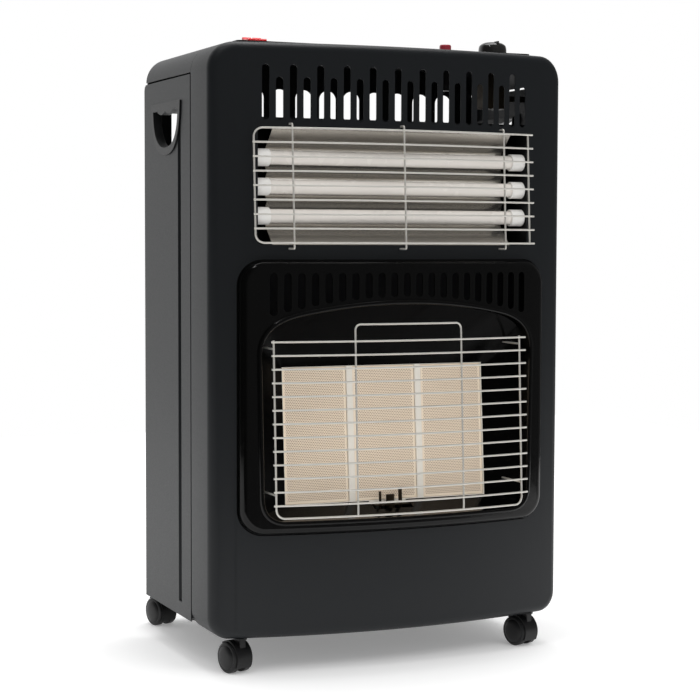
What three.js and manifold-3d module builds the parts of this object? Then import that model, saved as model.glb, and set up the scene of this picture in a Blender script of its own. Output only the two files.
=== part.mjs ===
// Portable gas cabinet heater: a gas burner with three ceramic plaques below,
// three quartz lamps above, in a sheet-metal cabinet on four twin-wheel casters.
// Millimetres, +Z up, the front faces -Y. The finished group has its origin on the
// floor, under the middle of the whole heater.
import * as THREE from "three";
import { mergeVertices } from "three/addons/utils/BufferGeometryUtils.js";
import Module from "manifold-3d";

const wasm = await Module();
wasm.setup();

/* ------------------------------------------------------------------ *
 *  Driving dimensions. Y is counted from the front face at its sides. *
 * ------------------------------------------------------------------ */

// cabinet
const BODY_WIDTH = 450;
const BODY_LOW = 42;
const BODY_HIGH = 718;
const FACE_BOW = 33; // how far the middle of the face stands forward
const TOP_CORNER = 30;
const FOOT_CORNER = 24;
const FACE_EDGE = 10;
const SHELL_DEPTH = 64;
const SHELL_WALL = 1.5;
const SHEET = 1.2;
const GAP = 0.3; // between pieces that touch on the real heater
const SEAM = 3; // shadow joint behind the front shell
const TONGUE = 5.5;

// side panels
const SIDE_REAR = 244;
const SIDE_LOW = 51;
const SIDE_DROP = 32;
const SIDE_HIGH = BODY_HIGH - SIDE_DROP;
const SIDE_REAR_RADIUS = 8;
const SIDE_FOLD = 12;
const RIB_FRONT = 101;
const RIB_REAR = 112;
const RIB_DEPTH = 3;
const RIB_END_SPACE = 17;
const RIB_HEAD_SPACE = 31;

// carrying handles
const HANDLE_FRONT = 108;
const HANDLE_REAR = 202;
const HANDLE_DROP = 36;
const HANDLE_HEIGHT = 44;
const HANDLE_HIGH = SIDE_HIGH - HANDLE_DROP;
const HANDLE_LOW = HANDLE_HIGH - HANDLE_HEIGHT;
const HANDLE_WALL = 2.5;
const HANDLE_RIM = 9;
const HANDLE_RIM_THICK = 1.6;
const HANDLE_CUP = 9;
const FINGER_DROP = 9;

// top and rear
const COVER_REAR = 236;
const COVER_SIDE_GAP = 2;
const VENT_HEIGHT = 133;
const VENT_LOW = BODY_HIGH - VENT_HEIGHT;
const VENT_SLOTS = 12;
const VENT_SLOT_WIDTH = 23;
const VENT_SLOT_PITCH = 33;
const VENT_SLOT_DROP = 31;
const VENT_SLOT_LENGTH = 85;
const VENT_SLOT_HIGH = BODY_HIGH - VENT_SLOT_DROP;
const VENT_SLOT_LOW = VENT_SLOT_HIGH - VENT_SLOT_LENGTH;
const SHIELD_DROP = 78;
const SHIELD_HIGH = BODY_HIGH - SHIELD_DROP;

// floor pan
const PAN_INSET = 19;
const PAN_HALF = BODY_WIDTH / 2 - PAN_INSET;
const PAN_REAR = 316;
const PAN_RIM = 8.7;
const PAN_CORNER = 30;
const HEM_RADIUS = 3;
const PLATFORM_RISE = 7; // pressed up, so the bottle stands above the caster nuts
const PLATFORM_HALF = 160;
const PLATFORM_FRONT = 96;
const PLATFORM_REAR = 272;

// air slots above the lamps
const AIR_SLOTS = 22;
const AIR_SLOT_PITCH = 15.55;
const AIR_SLOT_WIDTH = 8.5;
const AIR_SLOT_DROP = 25;
const AIR_SLOT_LENGTH = 62;
const AIR_SLOT_STEP = 14;
const AIR_SLOT_TALL = BODY_HIGH - AIR_SLOT_DROP;
const AIR_SLOT_SHORT = AIR_SLOT_TALL - AIR_SLOT_STEP;
const AIR_SLOT_LOW = AIR_SLOT_TALL - AIR_SLOT_LENGTH;

// lamp bay
const BAY_HALF = 172;
const BAY_DROP = 96;
const BAY_HEIGHT = 131;
const BAY_HIGH = BODY_HIGH - BAY_DROP;
const BAY_LOW = BAY_HIGH - BAY_HEIGHT;
const BAY_CORNER = 5;
const CHASSIS_REAR = 38;
const LAMPS = 3;
const LAMP_PITCH = 33;
const LAMP_Y = 0;
const TUBE_RADIUS = 8;
const CAP_RADIUS = 10;
const CAP_LENGTH = 17;
const CAP_SOCKET = 8;
const CAP_FIT = 0.3;
const REFLECTOR_HALF = 152;
const FLUTE_RADIUS = 19;

// burner surround
const BEZEL_INSET = 31;
const BEZEL_HALF = BODY_WIDTH / 2 - BEZEL_INSET;
const BEZEL_LOW = 162;
const BEZEL_SPACE = 18;
const BEZEL_HIGH = BAY_LOW - BEZEL_SPACE;
const BEZEL_CORNER = 28;
const BEZEL_EDGE = 8;
const BEZEL_PROUD = 10;
const BEZEL_WALL = 1.5;
const BEZEL_FLANGE = 8;
const BEZEL_CLEAR = 1.5;
const GRILLE_SLOTS = 21;
const GRILLE_PITCH = 15.8;
const GRILLE_WIDTH = 8.5;
const GRILLE_DROP = 14;
const GRILLE_HIGH = BEZEL_HIGH - GRILLE_DROP;
const GRILLE_ABOVE_ARCH = 9;

// arch opening of the surround
const ARCH_LOW = 178;
const ARCH_DROP = 50;
const ARCH_CROWN = BEZEL_HIGH - ARCH_DROP;
const ARCH_RADIUS = 618;
const ARCH_SHOULDER_DROP = 57;
const ARCH_SHOULDER_Z = ARCH_CROWN - ARCH_SHOULDER_DROP;
const ARCH_INSET = 26;
const ARCH_FLARE = 3;
const ARCH_SPRING_INSET = 45;
const ARCH_FOOT_HALF = BEZEL_HALF - ARCH_INSET;
const ARCH_SHOULDER_HALF = ARCH_FOOT_HALF + ARCH_FLARE;
const ARCH_SPRING = ARCH_SHOULDER_HALF - ARCH_SPRING_INSET;
const ARCH_FOOT_RADIUS = 26;
const LIP_DEPTH = 14;
const LIP_WALL = 1.5;
const DISH_FLANGE = 8;
const DISH_WALL = 1.2;

// burner, in its own frame that leans back
const BURNER_Y = 16;
const BURNER_DROP = 31;
const BURNER_Z = (ARCH_LOW + ARCH_CROWN) / 2 - BURNER_DROP;
const BURNER_LEAN = 4.3;
const PLAQUES = 3;
const PLAQUE_WIDTH = 80;
const PLAQUE_HEIGHT = 158;
const PLAQUE_THICK = 13;
const PLAQUE_SINK = 1.7;
const PLAQUE_BAR = 8.5;
const PLAQUE_FIT = 0.3;
const FRAME_RIM = 4.5;
const PLENUM_DEPTH = 23;
const PLENUM_WALL = 1.5;
const PLENUM_SEAT = 5;
const MIXER_RADIUS = 9;
const MIXER_MOUTH = 12;
const MIXER_LENGTH = 50;
const MIXER_Y = 27;

// gas train
const PIPE_RADIUS = 4;
const PIPE_INSET = 14;
const PIPE_X = BODY_WIDTH / 2 - PIPE_INSET;
const PIPE_BEND = 14;
const RAIL_DROP = 14;
const INJECTOR_RADIUS = 5;
const OUTLET_DROP = 50;
const OUTLET_Z = BODY_HIGH - OUTLET_DROP;
const VALVE_HALF_X = 16;
const VALVE_HALF_Y = 13;
const VALVE_LOW_DROP = 63;
const VALVE_LOW = BODY_HIGH - VALVE_LOW_DROP;
const VALVE_HIGH_DROP = 16;
const VALVE_HIGH = BODY_HIGH - VALVE_HIGH_DROP;
const VALVE_NECK = 9;
const PLUG_RADIUS = 6;
const PLUG_LOW_DROP = 35;
const PLUG_LOW = BODY_HIGH - PLUG_LOW_DROP;
const SPINDLE_RADIUS = 3;
const INLET_DROP = 30;
const INLET_Z = BODY_HIGH - INLET_DROP;
const INLET_LENGTH = 24;

// guards of welded wire
const WIRE_RADIUS = 1.15;
const WIRE_SIDES = 4;
const BOW_STEPS = 4;
const WELD_SHARE = 0.75; // distance of two welded wires, in wire diameters
const UPPER_WIRES = 9;
const UPPER_OVER_SILL = 2;
const UPPER_LOW = BAY_LOW + UPPER_OVER_SILL;
const UPPER_UNDER_HEAD = 0.5;
const UPPER_HIGH = BAY_HIGH - UPPER_UNDER_HEAD;
const UPPER_LEFT = -180;
const UPPER_TIP = 172;
const UPPER_BAR_LEFT = -137;
const UPPER_BAR_MIDDLE = -4.5;
const UPPER_BAR_RIGHT = 130;
const UPPER_OVERHANG = 2;
const UPPER_END_BAR = 166;
const UPPER_STAND = 11;
const UPPER_STAND_LOW = 18;
const UPPER_LEG = 4.5;
const UPPER_BEND = 2;
const GUARD_CORNER = 9;
const LOWER_WIRES = 13;
const LOWER_DROP = 41;
const LOWER_HIGH = ARCH_CROWN - LOWER_DROP;
const LOWER_SILL = 184;
const SILL_SPACE = 14.4;
const LOWER_LOW = LOWER_SILL + SILL_SPACE;
const LOWER_INSET_LEFT = 7;
const LOWER_INSET_RIGHT = 18;
const LOWER_LEFT = LOWER_INSET_LEFT - ARCH_FOOT_HALF;
const LOWER_RIGHT = ARCH_FOOT_HALF - LOWER_INSET_RIGHT;
const LOWER_TAIL = 8;
const LOWER_TIP = LOWER_RIGHT + LOWER_TAIL;
const LOWER_OVERHANG = 3;
const LOWER_RISE = 2;
const LOWER_STAND = 20;
const LOWER_STAND_LOW = 30;
const HOOP_HALF = 67;
const HOOP_RISE = 19;
const HOOP_HIGH = LOWER_HIGH + HOOP_RISE;
const HOOP_CORNER = 6;
const LEG_FROM_TOP = 7.6;
const LEG_FROM_SILL = 26;
const LEG_HIGH = LOWER_HIGH - LEG_FROM_TOP;
const LEG_LOW = LOWER_SILL + LEG_FROM_SILL;
const LEG_REACH = 66;
const LEG_RADIUS = 1;
const LEG_HOLE = 2;

// controls on the top
const PANEL_HALF = 188;
const PANEL_FRONT = 9;
const PANEL_REAR = 59;
const PANEL_THICK = 2.7;
const PANEL_LAP = 4;
const PANEL_CORNER = 6;
const CONTROL_Y = 34;
const KNOB_INSET = 39.4;
const KNOB_X = PANEL_HALF - KNOB_INSET;
const KNOB_RADIUS = 17;
const KNOB_HEIGHT = 14;
const KNOB_TRAVEL = 4;
const WELL_CLEAR = 1.5;
const WELL_WALL = 1.3;
const BUTTON_SPACE = 63.6;
const BUTTON_X = KNOB_X - BUTTON_SPACE;
const BUTTON_RADIUS = 7;
const BUTTON_HEIGHT = 8;
const BUTTON_TRAVEL = 6;
const BUTTON_STEM = 5;
const BUTTON_REACH = 15;
const IGNITER_RADIUS = 9;
const IGNITER_LENGTH = 40;
const ROCKER_INSET = 29;
const ROCKER_X = ROCKER_INSET - PANEL_HALF;
const ROCKER_WIDTH = 10.6;
const ROCKER_LENGTH = 20.6;
const ROCKER_RISE = 7.5;
const ROCKER_DISH = 2.2;
const ROCKER_TILT = 9;
const ROCKER_PIN = 1.4;
const SWITCH_WALL = 1.4;
const SWITCH_DEPTH = 18;

// casters
const WHEEL_RADIUS = 18;
const WHEEL_FACETS = 14;
const WHEEL_INNER = 4.4;
const WHEEL_OUTER = 15;
const CASTER_INSET = 38.5;
const CASTER_X = BODY_WIDTH / 2 - CASTER_INSET;
const CASTER_FRONT_Y = 5.4;
const CASTER_REAR_Y = 286;
const CASTER_TRAIL = 10;
const CASTER_SWIVEL = 16;
const HOOD_HALF = 10.4;
const HOOD_CLEAR = 0.6;
const HOOD_THICK = 1.2;
const HOOD_HUB = 7;
const SOCKET_HALF = 5.4;
const AXLE_RADIUS = 2;
const STEM_RADIUS = 2.6;
const STEM_BOLT = 3;
const STEM_NUT = 5.8;
const STEM_COLLAR = 8;

/* ------------------------------------------------------------------ *
 *  Finishes                                                           *
 * ------------------------------------------------------------------ */

const finish = (color, roughness, metalness) =>
  new THREE.MeshStandardMaterial({ color, roughness, metalness });
const charcoalPaint = finish(0x2a2c2e, 0.5, 0.2);
const blackEnamel = finish(0x121212, 0.15, 0.1);
const sootBlack = finish(0x0b0b0b, 0.6, 0.2);
const greyPlate = finish(0x55565a, 0.5, 0.5);
const brightWire = finish(0xd8d6cf, 0.25, 0.9);
const zincSteel = finish(0xb9bab6, 0.35, 0.9);
const polishedAlu = finish(0xcfd0cf, 0.12, 1);
const ceramicCream = finish(0xe6cfb2, 0.9, 0);
const ceramicWhite = finish(0xf0eee8, 0.6, 0);
const quartz = finish(0xd9d4cc, 0.15, 0);
const brass = finish(0xb79a55, 0.3, 0.9);
const blackPlastic = finish(0x1a1a1b, 0.4, 0);
const knobPlastic = finish(0x151516, 0.2, 0);
const redPlastic = finish(0xd8171b, 0.3, 0);
const darkRedPlastic = finish(0x8e2f3a, 0.35, 0);

/* ------------------------------------------------------------------ *
 *  Making solids                                                      *
 * ------------------------------------------------------------------ */

const rad = THREE.MathUtils.degToRad;
const v3 = (x, y, z) => new THREE.Vector3(x, y, z);
const v2 = (x, y) => new THREE.Vector2(x, y);

// A closed geometry as a solid for joining and cutting, always face out.
function solid(geometry) {
  const bare = new THREE.BufferGeometry();
  bare.setAttribute("position", geometry.getAttribute("position"));
  if (geometry.index) bare.setIndex(geometry.index);
  const merged = mergeVertices(bare, 1e-4);
  const corners = [];
  const source = merged.index.array;
  for (let i = 0; i < source.length; i += 3) {
    const [a, b, c] = [source[i], source[i + 1], source[i + 2]];
    if (a !== b && b !== c && c !== a) corners.push(a, b, c);
  }
  const vertProperties = new Float32Array(merged.getAttribute("position").array);
  const make = (list) => new wasm.Manifold(
    new wasm.Mesh({ numProp: 3, vertProperties, triVerts: new Uint32Array(list) }),
  );
  const made = make(corners);
  return made.volume() > 0 ? made : make(corners.reverse());
}

const between = (a, b, steps) => Array.from({ length: steps + 1 }, (_, i) => a + (b - a) * i / steps);
const join = (...solids) => solids.reduce((sum, next) => sum.add(next));
const cut = (from, ...tools) => tools.reduce((rest, tool) => rest.subtract(tool), from);

function box(x0, x1, y0, y1, z0, z1) {
  const geometry = new THREE.BoxGeometry(x1 - x0, y1 - y0, z1 - z0);
  return solid(geometry.translate((x0 + x1) / 2, (y0 + y1) / 2, (z0 + z1) / 2));
}

function extrude(shape, depth, curveSegments) {
  return new THREE.ExtrudeGeometry(shape, { depth, bevelEnabled: false, curveSegments });
}

// Extrusions of an outline drawn in (y, z), (x, z) and (x, y).
function alongX(shape, x0, x1, curveSegments = 6) {
  const turn = new THREE.Matrix4().makeBasis(v3(0, 1, 0), v3(0, 0, 1), v3(1, 0, 0));
  return solid(extrude(shape, x1 - x0, curveSegments).applyMatrix4(turn).translate(x0, 0, 0));
}

function alongY(shape, y0, y1, curveSegments = 6) {
  return solid(extrude(shape, y1 - y0, curveSegments).rotateX(Math.PI / 2).translate(0, y1, 0));
}

function alongZ(shape, z0, z1, curveSegments = 6) {
  return solid(extrude(shape, z1 - z0, curveSegments).translate(0, 0, z0));
}

// A turned piece: profile points are (radius, distance along the axis).
function turned(profile, segments, axis = "z", phase = 0) {
  const points = profile.map(([r, h]) => v2(r, h));
  const geometry = new THREE.LatheGeometry(points, segments, phase);
  if (axis === "z") geometry.rotateX(Math.PI / 2);
  if (axis === "x") geometry.rotateZ(-Math.PI / 2);
  return solid(geometry);
}

const rod = (radius, from, to, segments = 12, axis = "z") =>
  turned([[0, from], [radius, from], [radius, to], [0, to]], segments, axis);

function roundedRect(x0, x1, y0, y1, radius) {
  const shape = new THREE.Shape();
  shape.moveTo(x0 + radius, y0);
  shape.lineTo(x1 - radius, y0);
  shape.absarc(x1 - radius, y0 + radius, radius, -Math.PI / 2, 0);
  shape.lineTo(x1, y1 - radius);
  shape.absarc(x1 - radius, y1 - radius, radius, 0, Math.PI / 2);
  shape.lineTo(x0 + radius, y1);
  shape.absarc(x0 + radius, y1 - radius, radius, Math.PI / 2, Math.PI);
  shape.lineTo(x0, y0 + radius);
  shape.absarc(x0 + radius, y0 + radius, radius, Math.PI, 1.5 * Math.PI);
  return shape;
}

// An upright slot with round ends, or with a flat foot and a round head.
function slotShape(x, width, low, high, flatFoot = false) {
  const r = width / 2;
  const shape = new THREE.Shape();
  if (flatFoot) {
    shape.moveTo(x - r, low);
    shape.lineTo(x + r, low);
  } else {
    shape.absarc(x, low + r, r, Math.PI, 2 * Math.PI);
  }
  shape.absarc(x, high - r, r, 0, Math.PI);
  return shape;
}

function polygon(points) {
  return new THREE.Shape(points.map(([x, y]) => v2(x, y)));
}

// Skin over rings of equal length. Open lofts are capped by strips that join the
// lower and the upper half of the end rings, so a bowed end stays bowed.
function loft(rings, endless = false) {
  const count = rings[0].length;
  const index = [];
  const at = (ring, j) => (ring % rings.length) * count + (j % count);
  const spans = endless ? rings.length : rings.length - 1;
  for (let i = 0; i < spans; i++) {
    for (let j = 0; j < count; j++) {
      index.push(at(i, j), at(i, j + 1), at(i + 1, j + 1));
      index.push(at(i, j), at(i + 1, j + 1), at(i + 1, j));
    }
  }
  if (!endless) {
    const last = rings.length - 1;
    for (let k = 0; k < count / 2 - 1; k++) {
      const [a, b, c, d] = [k, k + 1, count - 2 - k, count - 1 - k];
      index.push(at(0, a), at(0, c), at(0, b), at(0, a), at(0, d), at(0, c));
      index.push(at(last, a), at(last, b), at(last, c), at(last, a), at(last, c), at(last, d));
    }
  }
  const geometry = new THREE.BufferGeometry().setFromPoints(rings.flat());
  return solid(geometry.setIndex(index));
}

/* ------------------------------------------------------------------ *
 *  The bowed face and what follows it                                 *
 * ------------------------------------------------------------------ */

const ARC_STEPS = 3;
const FACE_STEPS = 12;
const EDGE_STEPS = 2;

const faceY = (x) => -FACE_BOW * (1 - (2 * x / BODY_WIDTH) ** 2);

// How far a rounded corner draws the outline in from its straight edge at x.
function cornerDrop(x, half, corner) {
  const past = Math.max(0, Math.abs(x) - (half - corner));
  return corner - Math.sqrt(Math.max(0, corner ** 2 - past ** 2));
}

// The outline of a rounded plate seen from the front, drawn in by inset, with its
// depth given by y(x). The lower edge runs first, then the upper edge back.
function plateRing({ half, low, high, cornerLow, cornerHigh }, inset, y) {
  const reach = half - inset;
  const foot = Math.max(cornerLow - inset, 0.5);
  const head = Math.max(cornerHigh - inset, 0.5);
  const corner = Math.max(foot, head);
  const arc = Array.from({ length: ARC_STEPS }, (_, i) =>
    reach - corner + corner * Math.sin(((i + 1) / ARC_STEPS) * Math.PI / 2));
  const flat = Array.from({ length: FACE_STEPS + 1 }, (_, i) =>
    (reach - corner) * (2 * i / FACE_STEPS - 1));
  const xs = [...arc.map((x) => -x).reverse(), ...flat, ...arc];
  const lower = xs.map((x) => v3(x, y(x), low + inset + cornerDrop(x, reach, foot)));
  const upper = xs.map((x) => v3(x, y(x), high - inset - cornerDrop(x, reach, head)));
  return [...lower, ...upper.reverse()];
}

// Rings of an edge that is rolled round into the bowed face, ending on the face.
function rolledEdge(plate, front, edge) {
  return Array.from({ length: EDGE_STEPS + 1 }, (_, i) => {
    const angle = (i / EDGE_STEPS) * Math.PI / 2;
    const y = (x) => front(x) + edge * (1 - Math.sin(angle));
    return plateRing(plate, edge * (1 - Math.cos(angle)), y);
  });
}

const shellPlate = {
  half: BODY_WIDTH / 2, low: BODY_LOW, high: BODY_HIGH,
  cornerLow: FOOT_CORNER, cornerHigh: TOP_CORNER,
};
const shrink = (plate, by) => ({
  half: plate.half - by, low: plate.low + by, high: plate.high - by,
  cornerLow: plate.cornerLow - by, cornerHigh: plate.cornerHigh - by,
});
const bezelPlate = {
  half: BEZEL_HALF, low: BEZEL_LOW, high: BEZEL_HIGH,
  cornerLow: BEZEL_CORNER, cornerHigh: BEZEL_CORNER,
};

const TONGUE_REAR = SHELL_DEPTH + TONGUE;
const TONGUE_INSET = SHELL_WALL + GAP;
const controlOpening = {
  x: PANEL_HALF - PANEL_LAP,
  front: PANEL_FRONT + PANEL_LAP,
  rear: PANEL_REAR - PANEL_LAP,
};

function airSlot(i) {
  const x = (i - (AIR_SLOTS - 1) / 2) * AIR_SLOT_PITCH;
  const high = i % 2 ? AIR_SLOT_SHORT : AIR_SLOT_TALL;
  return slotShape(x, AIR_SLOT_WIDTH, AIR_SLOT_LOW, high);
}

function frontShell() {
  const inner = shrink(shellPlate, SHELL_WALL);
  // the rear edge is joggled into a tongue behind the side panels and the top cover
  const seam = [
    [SHELL_WALL, SHELL_DEPTH - 6], [TONGUE_INSET + SHEET, SHELL_DEPTH - 2],
    [TONGUE_INSET + SHEET, TONGUE_REAR], [TONGUE_INSET, TONGUE_REAR],
    [TONGUE_INSET, SHELL_DEPTH], [0, SHELL_DEPTH],
  ];
  const skin = loft([
    ...rolledEdge(inner, (x) => faceY(x) + SHELL_WALL, FACE_EDGE - SHELL_WALL).reverse(),
    ...seam.map(([inset, y]) => plateRing(shellPlate, inset, () => y)),
    ...rolledEdge(shellPlate, faceY, FACE_EDGE),
  ]);
  const bay = alongY(
    roundedRect(-BAY_HALF, BAY_HALF, BAY_LOW, BAY_HIGH, BAY_CORNER), -2 * FACE_BOW, SHELL_DEPTH / 2,
  );
  const surround = loft([
    plateRing(bezelPlate, -BEZEL_CLEAR, () => SHELL_DEPTH / 2),
    plateRing(bezelPlate, -BEZEL_CLEAR, () => -2 * FACE_BOW),
  ]);
  const slots = Array.from({ length: AIR_SLOTS }, (_, i) =>
    alongY(airSlot(i), -2 * FACE_BOW, SHELL_DEPTH / 2, 3));
  const controls = box(
    -controlOpening.x, controlOpening.x, controlOpening.front, controlOpening.rear,
    BODY_HIGH - 3 * SHELL_WALL, BODY_HIGH + 1,
  );
  const bolts = [-1, 1].map((side) =>
    rod(STEM_BOLT + GAP, BODY_LOW - 1, BODY_LOW + 2 * SHELL_WALL, 8)
      .translate(side * CASTER_X, CASTER_FRONT_Y, 0));
  return cut(skin, bay, surround, controls, ...slots, ...bolts);
}

/* ------------------------------------------------------------------ *
 *  Side panels, handles, top cover, rear vent, heat shield, floor pan *
 * ------------------------------------------------------------------ */

const sideOuter = BODY_WIDTH / 2;
const sideInner = sideOuter - SHEET;
const SIDE_FRONT = SHELL_DEPTH + SEAM;
const HAND_STEPS = 5;

// The hand hole: flat head with two finger waves, round foot. Drawn in (y, z).
function handShape(grow, waves) {
  const front = HANDLE_FRONT - grow;
  const rear = HANDLE_REAR + grow;
  const high = HANDLE_HIGH + grow;
  const low = HANDLE_LOW - grow;
  const middle = (front + rear) / 2;
  const bend = (high - low) * 0.82;
  const flare = (rear - front) * 0.25;
  const shape = new THREE.Shape();
  shape.moveTo(rear, high);
  if (waves) {
    const wave = (HANDLE_REAR - HANDLE_FRONT) / 3;
    shape.lineTo(middle + wave, high);
    shape.quadraticCurveTo(middle + wave / 2, high - FINGER_DROP, middle, high - 1);
    shape.quadraticCurveTo(middle - wave / 2, high - FINGER_DROP, middle - wave, high);
  }
  shape.lineTo(front, high);
  shape.bezierCurveTo(front + 2, high - bend, middle - flare, low, middle, low);
  shape.bezierCurveTo(middle + flare, low, rear - 2, high - bend, rear, high);
  return shape;
}

function sidePanel() {
  const sheetShape = new THREE.Shape();
  sheetShape.moveTo(SIDE_FRONT, SIDE_LOW);
  sheetShape.lineTo(SIDE_REAR, SIDE_LOW);
  sheetShape.lineTo(SIDE_REAR, SIDE_HIGH - SIDE_REAR_RADIUS);
  sheetShape.absarc(
    SIDE_REAR - SIDE_REAR_RADIUS, SIDE_HIGH - SIDE_REAR_RADIUS, SIDE_REAR_RADIUS, 0, Math.PI / 2,
  );
  sheetShape.lineTo(SIDE_FRONT, SIDE_HIGH);
  const skin = alongX(sheetShape, sideInner, sideOuter, 4);
  const ribLow = SIDE_LOW + RIB_END_SPACE;
  const ribHigh = SIDE_HIGH - RIB_HEAD_SPACE;
  const groove = (wide, x0, x1, over) => alongZ(polygon([
    [x1, RIB_FRONT - wide], [x1, RIB_REAR + wide],
    [x0, RIB_REAR + wide - RIB_DEPTH / 2], [x0, RIB_FRONT - wide + RIB_DEPTH / 2],
  ]), ribLow - over, ribHigh + over);
  const swell = groove(SHEET, sideInner - RIB_DEPTH, sideInner + 0.1, SHEET);
  const stamp = groove(0, sideOuter - RIB_DEPTH, sideOuter + 0.01, 0);
  const rearFold = box(
    sideInner - SIDE_FOLD, sideInner + SHEET / 2, SIDE_REAR - 1.5 * SHEET, SIDE_REAR - SHEET / 2,
    SIDE_LOW + 2 * SHEET, SIDE_HIGH - SIDE_REAR_RADIUS,
  );
  const footFold = box(
    PAN_HALF - SIDE_FOLD / 2, sideInner + SHEET / 2, TONGUE_REAR + 1, SIDE_REAR - SIDE_FOLD,
    SIDE_LOW + SHEET / 2, SIDE_LOW + 1.5 * SHEET,
  );
  const hand = alongX(
    handShape(HANDLE_WALL + GAP, false), sideInner - RIB_DEPTH - 1, sideOuter + 1, HAND_STEPS,
  );
  return cut(join(skin, swell, rearFold, footFold), stamp, hand);
}

function handle() {
  const rim = alongX(handShape(HANDLE_RIM, false), sideOuter + GAP,
    sideOuter + GAP + HANDLE_RIM_THICK, HAND_STEPS);
  const cup = alongX(handShape(HANDLE_WALL, false), sideOuter - HANDLE_CUP,
    sideOuter + GAP + HANDLE_RIM_THICK / 2, HAND_STEPS);
  const hole = alongX(handShape(0, true), sideOuter - HANDLE_CUP - 1,
    sideOuter + GAP + HANDLE_RIM_THICK + 1, HAND_STEPS);
  return cut(join(rim, cup), hole);
}

// The arched strip of the body outline above the side panels, drawn in (x, z).
function coverShape(inset, low) {
  const half = BODY_WIDTH / 2 - inset;
  const high = BODY_HIGH - inset;
  const corner = TOP_CORNER - inset;
  const shape = new THREE.Shape();
  shape.moveTo(half, low);
  shape.lineTo(half, high - corner);
  shape.absarc(half - corner, high - corner, corner, 0, Math.PI / 2);
  shape.lineTo(corner - half, high);
  shape.absarc(corner - half, high - corner, corner, Math.PI / 2, Math.PI);
  shape.lineTo(-half, low);
  return shape;
}

function topCover() {
  const low = SIDE_HIGH + COVER_SIDE_GAP;
  const outside = alongY(coverShape(0, low), SHELL_DEPTH + GAP, COVER_REAR, 5);
  const inside = alongY(coverShape(SHEET, low - 1), SHELL_DEPTH, COVER_REAR + 1, 5);
  return cut(outside, inside);
}

function rearVent() {
  const rear = COVER_REAR - 0.6;
  const inset = SHEET + GAP;
  const plate = alongY(coverShape(inset, VENT_LOW), rear - SHEET, rear, 5);
  const folds = [-1, 1].map((side) => {
    const x = side * (BODY_WIDTH / 2 - inset - SHEET);
    return box(x - SHEET / 2, x + SHEET / 2, rear - SIDE_FOLD, rear - SHEET / 2,
      VENT_LOW + 3 * SHEET, SIDE_HIGH - SIDE_FOLD);
  });
  const slots = Array.from({ length: VENT_SLOTS }, (_, i) => alongY(
    slotShape((i - (VENT_SLOTS - 1) / 2) * VENT_SLOT_PITCH, VENT_SLOT_WIDTH,
      VENT_SLOT_LOW, VENT_SLOT_HIGH, true),
    rear - 2 * SHEET, rear + SHEET, 3,
  ));
  return cut(join(plate, ...folds), ...slots);
}

const SHIELD_FRONT = TONGUE_REAR + 0.5;

function heatShield() {
  const half = sideInner - GAP;
  const back = SHIELD_FRONT + SHEET;
  const foldEnd = SHIELD_FRONT + SIDE_FOLD;
  return alongZ(polygon([
    [-half, SHIELD_FRONT], [half, SHIELD_FRONT], [half, foldEnd], [half - SHEET, foldEnd],
    [half - SHEET, back], [SHEET - half, back], [SHEET - half, foldEnd], [-half, foldEnd],
  ]), SIDE_LOW + 2 * SHEET + GAP, SHIELD_HIGH);
}

function floorPan() {
  const outline = (inset, front) => {
    const half = PAN_HALF - inset;
    const rear = PAN_REAR - inset;
    const corner = PAN_CORNER - inset;
    const shape = new THREE.Shape();
    shape.moveTo(-half, front);
    shape.lineTo(half, front);
    shape.absarc(half - corner, rear - corner, corner, 0, Math.PI / 2);
    shape.absarc(corner - half, rear - corner, corner, Math.PI / 2, Math.PI);
    return shape;
  };
  const front = SHELL_DEPTH + GAP;
  const rimFront = SHIELD_FRONT;
  const pressed = (inset, low, high) => alongZ(roundedRect(
    inset - PLATFORM_HALF, PLATFORM_HALF - inset, PLATFORM_FRONT + inset, PLATFORM_REAR - inset,
    PAN_CORNER - inset,
  ), low, high, 4);
  const sheetFloor = alongZ(outline(0, front), BODY_LOW, BODY_LOW + SHEET, 4);
  const floor = cut(
    join(sheetFloor, pressed(0, BODY_LOW + SHEET / 2, BODY_LOW + SHEET + PLATFORM_RISE)),
    pressed(SHEET, BODY_LOW - 1, BODY_LOW + PLATFORM_RISE),
  );
  const wall = cut(
    alongZ(outline(0, rimFront), BODY_LOW + 0.1, BODY_LOW + PAN_RIM, 4),
    alongZ(outline(SHEET, rimFront - 1), BODY_LOW, BODY_LOW + PAN_RIM + 1, 4),
  );
  // rolled hem round the tail that stands out behind the cabinet
  const tail = outline(-HEM_RADIUS / 2, SIDE_REAR + 4);
  const hem = cut(
    alongZ(tail, BODY_LOW + PAN_RIM - 2 * HEM_RADIUS, BODY_LOW + PAN_RIM, 4),
    alongZ(outline(SHEET, SIDE_REAR), BODY_LOW, BODY_LOW + PAN_RIM + 1, 4),
  );
  const bolts = [-1, 1].map((side) =>
    rod(STEM_BOLT + GAP, BODY_LOW - 1, BODY_LOW + 2, 8)
      .translate(side * CASTER_X, CASTER_REAR_Y, 0));
  return cut(join(floor, wall, hem), ...bolts);
}

/* ------------------------------------------------------------------ *
 *  Lamp bay: chassis, reflector, quartz tubes with ceramic caps       *
 * ------------------------------------------------------------------ */

const CAP_END = BAY_HALF - 2 * GAP;
const CAP_START = CAP_END - CAP_LENGTH;
const lampZ = (i) => (BAY_LOW + BAY_HIGH) / 2 + ((LAMPS - 1) / 2 - i) * LAMP_PITCH;

// Plan outline of a box whose front edge follows the bowed face.
function bowedPlan(half, rear, clear) {
  const points = [[-half, rear], [half, rear]];
  for (let i = FACE_STEPS; i >= 0; i--) {
    const x = half * (2 * i / FACE_STEPS - 1);
    points.push([x, faceY(x) + clear]);
  }
  return polygon(points);
}

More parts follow.
